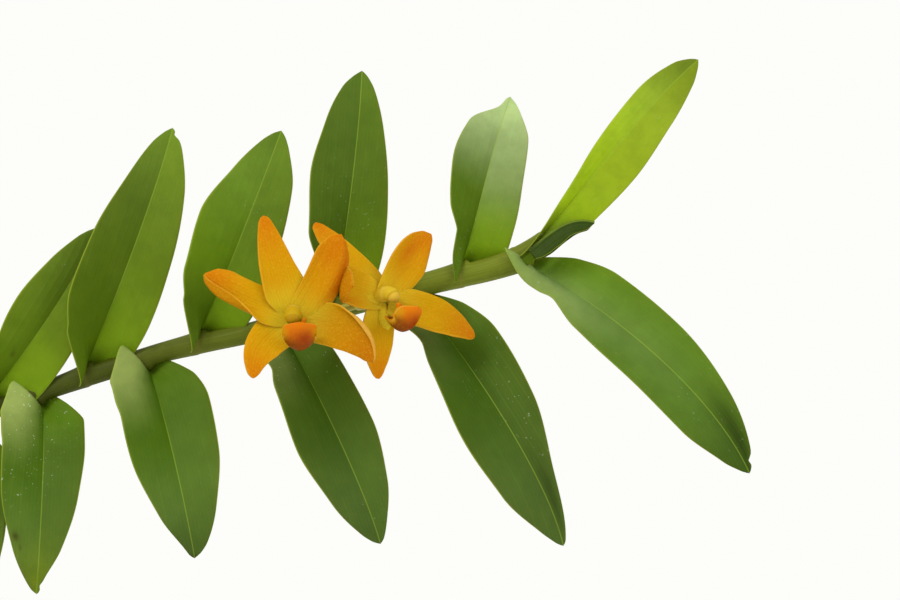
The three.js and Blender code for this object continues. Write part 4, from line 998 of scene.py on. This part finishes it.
def add_main_leaves(cane, finish):
    for i, leaf in enumerate(LEAVES):
        piece = make_leaf(f"leaf_blade_{i + 1:02d}", leaf_on(cane, leaf), *LEAF_GRID, i)
        dress(piece, finish, f"leaf_{i + 1:02d}")
    base = cane.point(cane.length) + FOLDED_LEAF["from"]
    points = midrib(base, cane.direction(cane.length), FOLDED_LEAF)
    form = {**FOLDED_LEAF, "reference": cane.side, "points": points}
    piece = make_leaf("leaf_blade_18_folded", form, *FOLDED_GRID, len(LEAVES) + 1)
    dress(piece, finish, "leaf_18_folded")


def add_old_cane(finish):
    dress(make_cane("old_cane_skin", Cane(OLD_CANE), OLD_CANE["joints"]), finish, "old_cane")


def add_leafy_stem(name, values, node, stem_finish, leaf_look):
    """A young cane or shoot: its stem and its two rows of leaves."""
    cane = Cane(values)
    dress(make_cane(name + "_stem", cane, values["joints"]), stem_finish, node)
    for i, at in enumerate(values["leaves"]):
        wave = SMALL_LEAF["first"] + SMALL_LEAF["spread"] * i / len(values["leaves"])
        form = small_leaf_on(cane, at, -1 if i % 2 else 1, values["longest"] * math.sin(math.pi * wave))
        leaf = make_leaf(f"{name}_leaf_{i + 1}", form, *SMALL_GRID, 100 + i)
        dress(leaf, leaf_look, node)


# Flowers
def flower_form(flower, kind, values, toward_side):
    """The form of a tepal or lip, from the kind's values and its own, placed by its flower's centre."""
    form = {**kind, "far": values["near"], **values}
    start, belly, tip = (np.add(flower["centre"], form[key]) for key in ("start", "belly", "tip"))
    points = [start, toward(start, belly, kind["lead"]), belly, tip]
    return {**form, "points": points, "reference": unit(np.cross(flower["faces"], toward_side))}


def add_tepal(name, flower, petal, finish, node):
    """A petal or sepal, which opens toward the way the flower faces."""
    lattice = blade_lattice(flower_form(flower, TEPAL, petal, petal["tip"]), TEPAL["rows"], TEPAL["columns"])
    u, w = lattice["u"][:, None, None], lattice["w"][None, :, None]
    body, veins = skin(TEPAL, lattice)
    groove = TEPAL["groove"] * np.exp(-(lattice["span"] / TEPAL["groove_width"]) ** 2) * (1 - u[..., 0])
    piece, row, column, above = make_sheet(name, lattice, body + veins - groove, body + groove)
    tone = toward(PETAL_TONES["heart"], PETAL_TONES["middle"], smooth(0, 0.45, u))
    tone = toward(tone, PETAL_TONES["tip"], smooth(0.4, 1, u) * (1 - 0.35 * abs(w) ** 3))
    tone = toward(tone, PETAL_TONES["tip"], petal.get("warm", 0) * smooth(0.1, 0.5, u))
    # Painted shade: red-orange spots in folds and on margins turned from the light.
    for mark in petal.get("blush", []):
        tone = toward(tone, PETAL_TONES["blush"], spot(lattice, mark))
    # Painted light and shade: each tepal's colour is scaled by its own brightness.
    tone = (tone * petal.get("light", 1))[row, column]
    write_tone(piece, toward(tone, PETAL_TONES[petal.get("back", "under")], 0.7 * (1 - above)[:, None]))
    write_values(piece, across=lattice["span"][row, column], edge=abs(lattice["w"])[column])
    dress(piece, finish, node)


def add_heart(name, flower, finish, node):
    """The flower's base behind its centre, and the chin below the column."""
    centre, facing = np.array(flower["centre"], float), unit(flower["faces"])
    behind = {key: centre - facing * HEART[key] for key in ("back", "front", "chin_root")}
    parts = {"heart": (behind["back"], behind["front"], HEART["radius"]),
             "chin": (behind["chin_root"], centre + flower["chin"], HEART["chin_radius"])}
    for part, (start, end, size) in parts.items():
        def radius(share, _, size=size):
            return size * np.sqrt(np.clip(1 - (2 * share - 1) ** 2 * 0.9, 0.05, 1))
        track = Track(np.linspace(start, end, 12))
        piece, share, _ = make_tube(f"{name}_{part}", track, radius, HEART["mesh"], nose=0.5)
        write_tone(piece, PETAL_TONES["heart"])
        write_values(piece, across=share * 6, edge=0)
        dress(piece, finish, node)


def add_column(name, flower, finish, node):
    """The column: a bowed club, with a pale painted highlight over its bend and, past a darker seam, a cap at
    its end.
    """
    start, over, end = np.add(flower["centre"], flower["column"])
    track = bezier(start, toward(start, over, 2 / 3), toward(end, over, 2 / 3), end)
    size = through_pairs(COLUMN["radii"])

    def radius(share, angle):
        hollow = COLUMN["hollow"] * smooth(0.3, 0.7, share) * np.maximum(np.cos(angle), 0) ** 2
        return size(share) * (1 - hollow)
    piece, share, _ = make_tube(name, track, radius, COLUMN["mesh"], -unit(flower["faces"]), nose=0.5)
    share = share[:, None]
    tone = toward(paint(*flower["body"]), paint(*flower["cap"]), smooth(0.84, 0.88, share))
    tone = toward(tone, COLUMN_TONES["seam"], 0.6 * np.exp(-((share - 0.83) / 0.025) ** 2))
    # Painted highlight: a pale band around the top of the bend.
    write_tone(piece, toward(tone, COLUMN_TONES["brow"], 0.35 * np.exp(-((share - 0.46) / 0.07) ** 2)))
    dress(piece, finish, node)


def add_lip(name, flower, finish, node):
    """The lip: a bowl that opens upward in front of the column, with two ridges in it, a deep red-brown
    patch on its front, and a tooth below the column."""
    form = flower_form(flower, LIP, flower["lip"], (0, 0, 1))
    lattice = blade_lattice(form, LIP["rows"], LIP["columns"])
    u, w = lattice["u"][:, None, None], lattice["w"][None, :, None]
    ridges = LIP["ridge"] * np.exp(-((abs(lattice["span"]) - LIP["ridge_off"]) / LIP["ridge_width"]) ** 2)
    ridges *= (smooth(0.1, 0.3, u) * (1 - smooth(0.5, 0.7, u)))[..., 0]
    body = LIP["middle"] + (LIP["margin"] - LIP["middle"]) * (w[..., 0] ** 4 + 0 * u[..., 0])
    piece, row, column, _ = make_sheet(name, lattice, body + ridges, body)
    # Painted shade: the lower middle of the bowl goes darker.
    low = (1 - smooth(0.56, 0.8, u)) * (1 - 0.8 * smooth(0.55, 0.85, abs(w)))
    tone = toward(LIP_TONES["bowl"], LIP_TONES["side"], smooth(0.3, 0.75, abs(w)))
    tone = toward(tone, LIP_TONES["low"], 0.9 * low)
    tone = toward(tone, LIP_TONES["rim"], smooth(0.78, 0.95, u))
    tone = toward(tone, LIP_TONES["throat"], spot(lattice, LIP["patch"]))
    tone = toward(tone, LIP_TONES["line"], 0.7 * np.exp(-((abs(w) - 0.9) / 0.035) ** 2))
    write_tone(piece, tone[row, column])
    dress(piece, finish, node)
    low, high, size = flower["tooth"]
    track = Track(np.linspace(np.add(flower["centre"], low), np.add(flower["centre"], high), 8))
    tooth, _, _ = make_tube(name + "_tooth", track, lambda t, _: size * (1 - 0.35 * t), TOOTH_MESH, nose=0.25)
    write_tone(tooth, LIP_TONES["rim"])
    dress(tooth, finish, node)


def add_flower(side, petal, lip, column):
    flower = FLOWERS[side]
    node = f"flower_{side}_perianth"
    for name, values in flower["tepals"].items():
        add_tepal(f"flower_{side}_{name}", flower, values, petal, node)
    add_heart(f"flower_{side}", flower, petal, node)
    add_column(f"flower_{side}_column_body", flower, column, f"flower_{side}_column")
    add_lip(f"flower_{side}_lip_bowl", flower, lip, f"flower_{side}_lip")


def add_stalks(cane, finish):
    """Two flower stalks that part from one short stalk on the cane, each swelling into its ovary."""
    foot = cane.point(STALKS["at"]) + cane.side * (cane.radius(STALKS["at"]) + STALKS["off"])
    size = through_pairs(STALKS["radii"])

    def radius(share, angle):
        return size(share) + STALKS["groove"] * np.cos(STALKS["grooves"] * angle) * smooth(0.6, 0.85, share)
    for name, flower in FLOWERS.items():
        facing = unit(flower["faces"])
        end = np.array(flower["centre"]) - facing * STALKS["end"]
        track = strand([foot, foot + STALKS["fork"], end - facing * STALKS["straight"], end])
        piece, share, angle = make_tube(f"flower_stalk_{name}", track, radius, STALKS["mesh"], nose=0.2)
        write_values(piece, around=angle, ring=0.8 * smooth(0.75, 1, share))
        dress(piece, finish, "flower_stalks")


# Pot, bark and roots
def rounded(outline, radius, steps=4):
    """An outline with each inner corner cut round."""
    smoothed = [outline[0]]
    for before, corner, after in zip(outline, outline[1:], outline[2:]):
        cut = min(radius, np.linalg.norm(corner - before) * 0.45, np.linalg.norm(after - corner) * 0.45)
        start = corner + unit(before - corner) * cut
        end = corner + unit(after - corner) * cut
        for t in np.linspace(0, 1, steps):
            smoothed.append(start * (1 - t) ** 2 + 2 * corner * t * (1 - t) + end * t * t)
    return smoothed + [outline[-1]]


def filled(outline, step):
    """An outline with points added so that none are further apart than a step."""
    whole = [outline[0]]
    for before, after in zip(outline, outline[1:]):
        count = max(1, math.ceil(np.linalg.norm(after - before) / step))
        whole += [toward(before, after, k / count) for k in range(1, count + 1)]
    return whole


def inner_radius(z):
    """Inner radius of the pot at a height."""
    share = (z - POT["floor"]) / (POT["height"] - POT["floor"])
    return toward(POT["foot"], POT["mouth"], share) - POT["wall"]


def pot_outline():
    height, foot, mouth, edge, floor = (POT[key] for key in ("height", "foot", "mouth", "edge", "floor"))
    under = height - POT["rim"]
    neck = toward(foot, mouth - POT["proud"], under / height)
    return np.array([
        (0, 0), (foot - edge, 0), (foot, edge), (neck, under), (neck + POT["proud"], under + edge),
        (mouth, height - edge), (mouth - edge, height), (mouth - POT["wall"] + edge, height),
        (inner_radius(height - edge), height - edge), (inner_radius(floor + 2 * edge), floor + 2 * edge),
        (inner_radius(floor) - 2 * edge, floor), (0, floor)], float)


def add_pot(finish):
    """The pot, a little uneven, with its drainage holes."""
    piece = make_turned("clay_pot", filled(rounded(pot_outline(), POT["round"]), POT["row"]), POT["sides"])
    points = read_points(piece)
    wobble = 0.12 * grain(points, 60, 2) + 0.03 * grain(points, 9, 4)
    write_points(piece, points + unit(points * np.array([1, 1, 0])) * wobble[:, None])
    for k in range(POT["holes"]):
        angle = (k + 0.5) * TURN / POT["holes"]
        deselect()
        bpy.ops.mesh.primitive_cylinder_add(
            vertices=40, radius=POT["hole"] * MM, depth=4 * POT["floor"] * MM,
            location=(POT["circle"] * math.cos(angle) * MM, POT["circle"] * math.sin(angle) * MM, 0))
        drill = bpy.context.object
        apply_modifier(piece, "BOOLEAN", object=drill, operation="DIFFERENCE", solver="EXACT")
        bpy.data.objects.remove(drill)
    deselect()
    piece.select_set(True)
    bpy.ops.object.shade_smooth_by_angle(angle=math.radians(POT["smooth"]))
    dress(piece, finish, "pot")


def bark_chip(kind, source):
    """One kind of bark chip: a bevelled, cracked and layered block about 10 mm long."""
    deselect()
    bpy.ops.mesh.primitive_cube_add(size=1)
    chip = bpy.context.object
    size = np.array([source.uniform(*span) for span in CHIP["sizes"]])
    write_points(chip, read_points(chip) * MM * size)
    apply_modifier(chip, "BEVEL", width=CHIP["bevel"] * MM, segments=1)
    apply_modifier(chip, "SUBSURF", subdivision_type="SIMPLE", levels=2, render_levels=2)
    points = read_points(chip)
    push = 0.55 * grain(points, 7, kind) + 0.3 * grain(points * np.array([0.5, 1, 3]), 3, kind + 50)
    write_points(chip, points + unit(points) * push[:, None])
    return chip


def lay_chip(kind, k, source):
    """A copy of a kind of chip, laid in its place on the spiral that fills the pot."""
    distance = math.sqrt((k + 0.5) / BARK["chips"]) * BARK["reach"]
    angle = k * GOLDEN_ANGLE + source.uniform(-0.3, 0.3)
    chip = kind.copy()
    chip.data = chip.data.copy()
    bpy.context.collection.objects.link(chip)
    tilt = CHIP["tilt"] if distance < BARK["reach"] - CHIP["rim"] else CHIP["rim_tilt"]
    tilts = [source.uniform(-tilt, tilt) for _ in range(2)]
    chip.rotation_euler = [*tilts, source.uniform(0, 6.28)]
    chip.scale = [source.uniform(*CHIP["scale"])] * 3
    chip.location = (distance * math.cos(angle) * MM, distance * math.sin(angle) * MM,
                     (BARK["top"] + source.uniform(*CHIP["lift"])) * MM)
    write_values(chip, shade=source.uniform(0, 1))
    return chip


def add_bark(finish):
    """Chips of bark that fill the pot, over a bed of the same bark that shows between them."""
    source = random.Random(BARK["seed"])
    kinds = [bark_chip(k, source) for k in range(CHIP["kinds"])]
    laid = [lay_chip(kinds[k % len(kinds)], k, source) for k in range(BARK["chips"])]
    for kind in kinds:
        bpy.data.objects.remove(kind)
    deselect()
    for chip in laid:
        chip.select_set(True)
    bpy.context.view_layer.objects.active = laid[0]
    bpy.ops.object.join()
    chips = bpy.context.object
    bpy.ops.object.transform_apply(location=True, rotation=True, scale=True)
    dress(name_piece(chips, "bark_chips"), finish, "bark_mix")
    low, top = POT["floor"] + 0.4, BARK["bed"]
    outline = np.array([(0, low), (inner_radius(low) - 4, low), (inner_radius(low + 3) - 0.4, low + 3),
                        (inner_radius(top) - 0.5, top), (0, top)], float)
    bed = make_turned("bark_bed", filled(outline, BARK["row"]), BARK["sides"])
    points = read_points(bed)
    lift = 0.5 * grain(points, 8, 7) * smooth(top - 1, top, points[:, 2])
    write_points(bed, points + UP * lift[:, None])
    write_values(bed, shade=0)
    dress(bed, finish, "bark_mix")


def add_roots(finish):
    """The creeping rhizome and the roots that wander over the bark."""
    def trunk_radius(share, angle):
        wave = abs(np.cos(share * math.pi * RHIZOME["swellings"]))
        ends = 0.5 * (smooth(0, 0.1, share) + 1 - smooth(0.9, 1, share))
        rings = 0.12 * np.cos(share * 90) ** 8 + 0.06 * np.sin(5 * angle + 20 * share)
        return RHIZOME["radius"] * toward(RHIZOME["waist"], 1, wave) * ends + rings
    trunk, _, _ = make_tube("rhizome", strand(RHIZOME["path"]), trunk_radius, RHIZOME["mesh"], UP)
    write_values(trunk, ring=0)
    dress(trunk, finish, "rhizome_and_roots")
    for i, path in enumerate(ROOTS):
        track = strand(path)

        def root_radius(share, angle, track=track):
            size = ROOT["radius"] * (1 - ROOT["taper"] * share) * (1 - 0.6 * smooth(0.93, 1, share))
            return size * (1 + 0.06 * grain(track.point(share), 7, 9)) + 0.02 * np.cos(3 * angle)
        root, share, _ = make_tube(f"root_{i + 1}", track, root_radius, ROOT["mesh"], UP)
        write_values(root, ring=smooth(0.86, 0.97, share))
        dress(root, finish, "rhizome_and_roots")


# Camera, light and floor
def set_up(thing, place, target):
    """Puts a new camera or light in its place, turned to a target."""
    holder = bpy.data.objects.new(thing.name, thing)
    bpy.context.collection.objects.link(holder)
    holder.location = place
    holder.rotation_euler = (target - holder.location).to_track_quat("-Z", "Y").to_euler()
    return holder


def add_camera(aim):
    rise = math.radians(PHOTO["rise"])
    ahead = Vector((0, math.cos(rise), math.sin(rise)))
    data = bpy.data.cameras.new("photo_camera")
    data.sensor_width = SENSOR
    data.lens = SENSOR * PHOTO["distance"] / (PHOTO["pixels"] * PHOTO["mm_per_pixel"])
    data.clip_start = 0.01
    bpy.context.scene.camera = set_up(data, aim - ahead * PHOTO["distance"] * MM, aim)


def add_studio(aim):
    """White surroundings, a large soft light above on the left, a weak one on the right, and the floor."""
    world = bpy.data.worlds.new("white_studio")
    bpy.context.scene.world = world
    world.use_nodes = True
    world.node_tree.nodes["Background"].inputs["Color"].default_value = (*paint(253, 253, 250), 1)
    bpy.context.scene.view_settings.view_transform = "Standard"
    for name, values in LIGHTS.items():
        light = bpy.data.lights.new(name, "AREA")
        light.shape = "DISK"
        light.size, light.energy, light.color = values["size"], values["power"], values["colour"]
        set_up(light, values["place"], aim)
    deselect()
    bpy.ops.mesh.primitive_circle_add(vertices=96, radius=FLOOR_RADIUS, fill_type="NGON")
    floor = name_piece(bpy.context.object, "floor")
    floor.data.materials.append(floor_finish())


def build():
    aim = Vector(PHOTO["aim"]) * MM
    add_camera(aim)
    add_studio(aim)
    leaf, petal, lip, column = leaf_finish(), petal_finish(), lip_finish(), column_finish()
    green, dry, fresh = (cane_finish(name, **look) for name, look in CANE_LOOKS.items())
    cane = add_main_cane(green)
    add_main_leaves(cane, leaf)
    add_stalks(cane, stalk_finish())
    for side in FLOWERS:
        add_flower(side, petal, lip, column)
    add_old_cane(dry)
    add_leafy_stem("young_cane", YOUNG_CANE, "young_leafy_cane", fresh, leaf)
    add_leafy_stem("shoot", SHOOT, "new_shoot", fresh, leaf)
    add_pot(clay_finish())
    add_bark(bark_finish())
    add_roots(root_finish())


build()
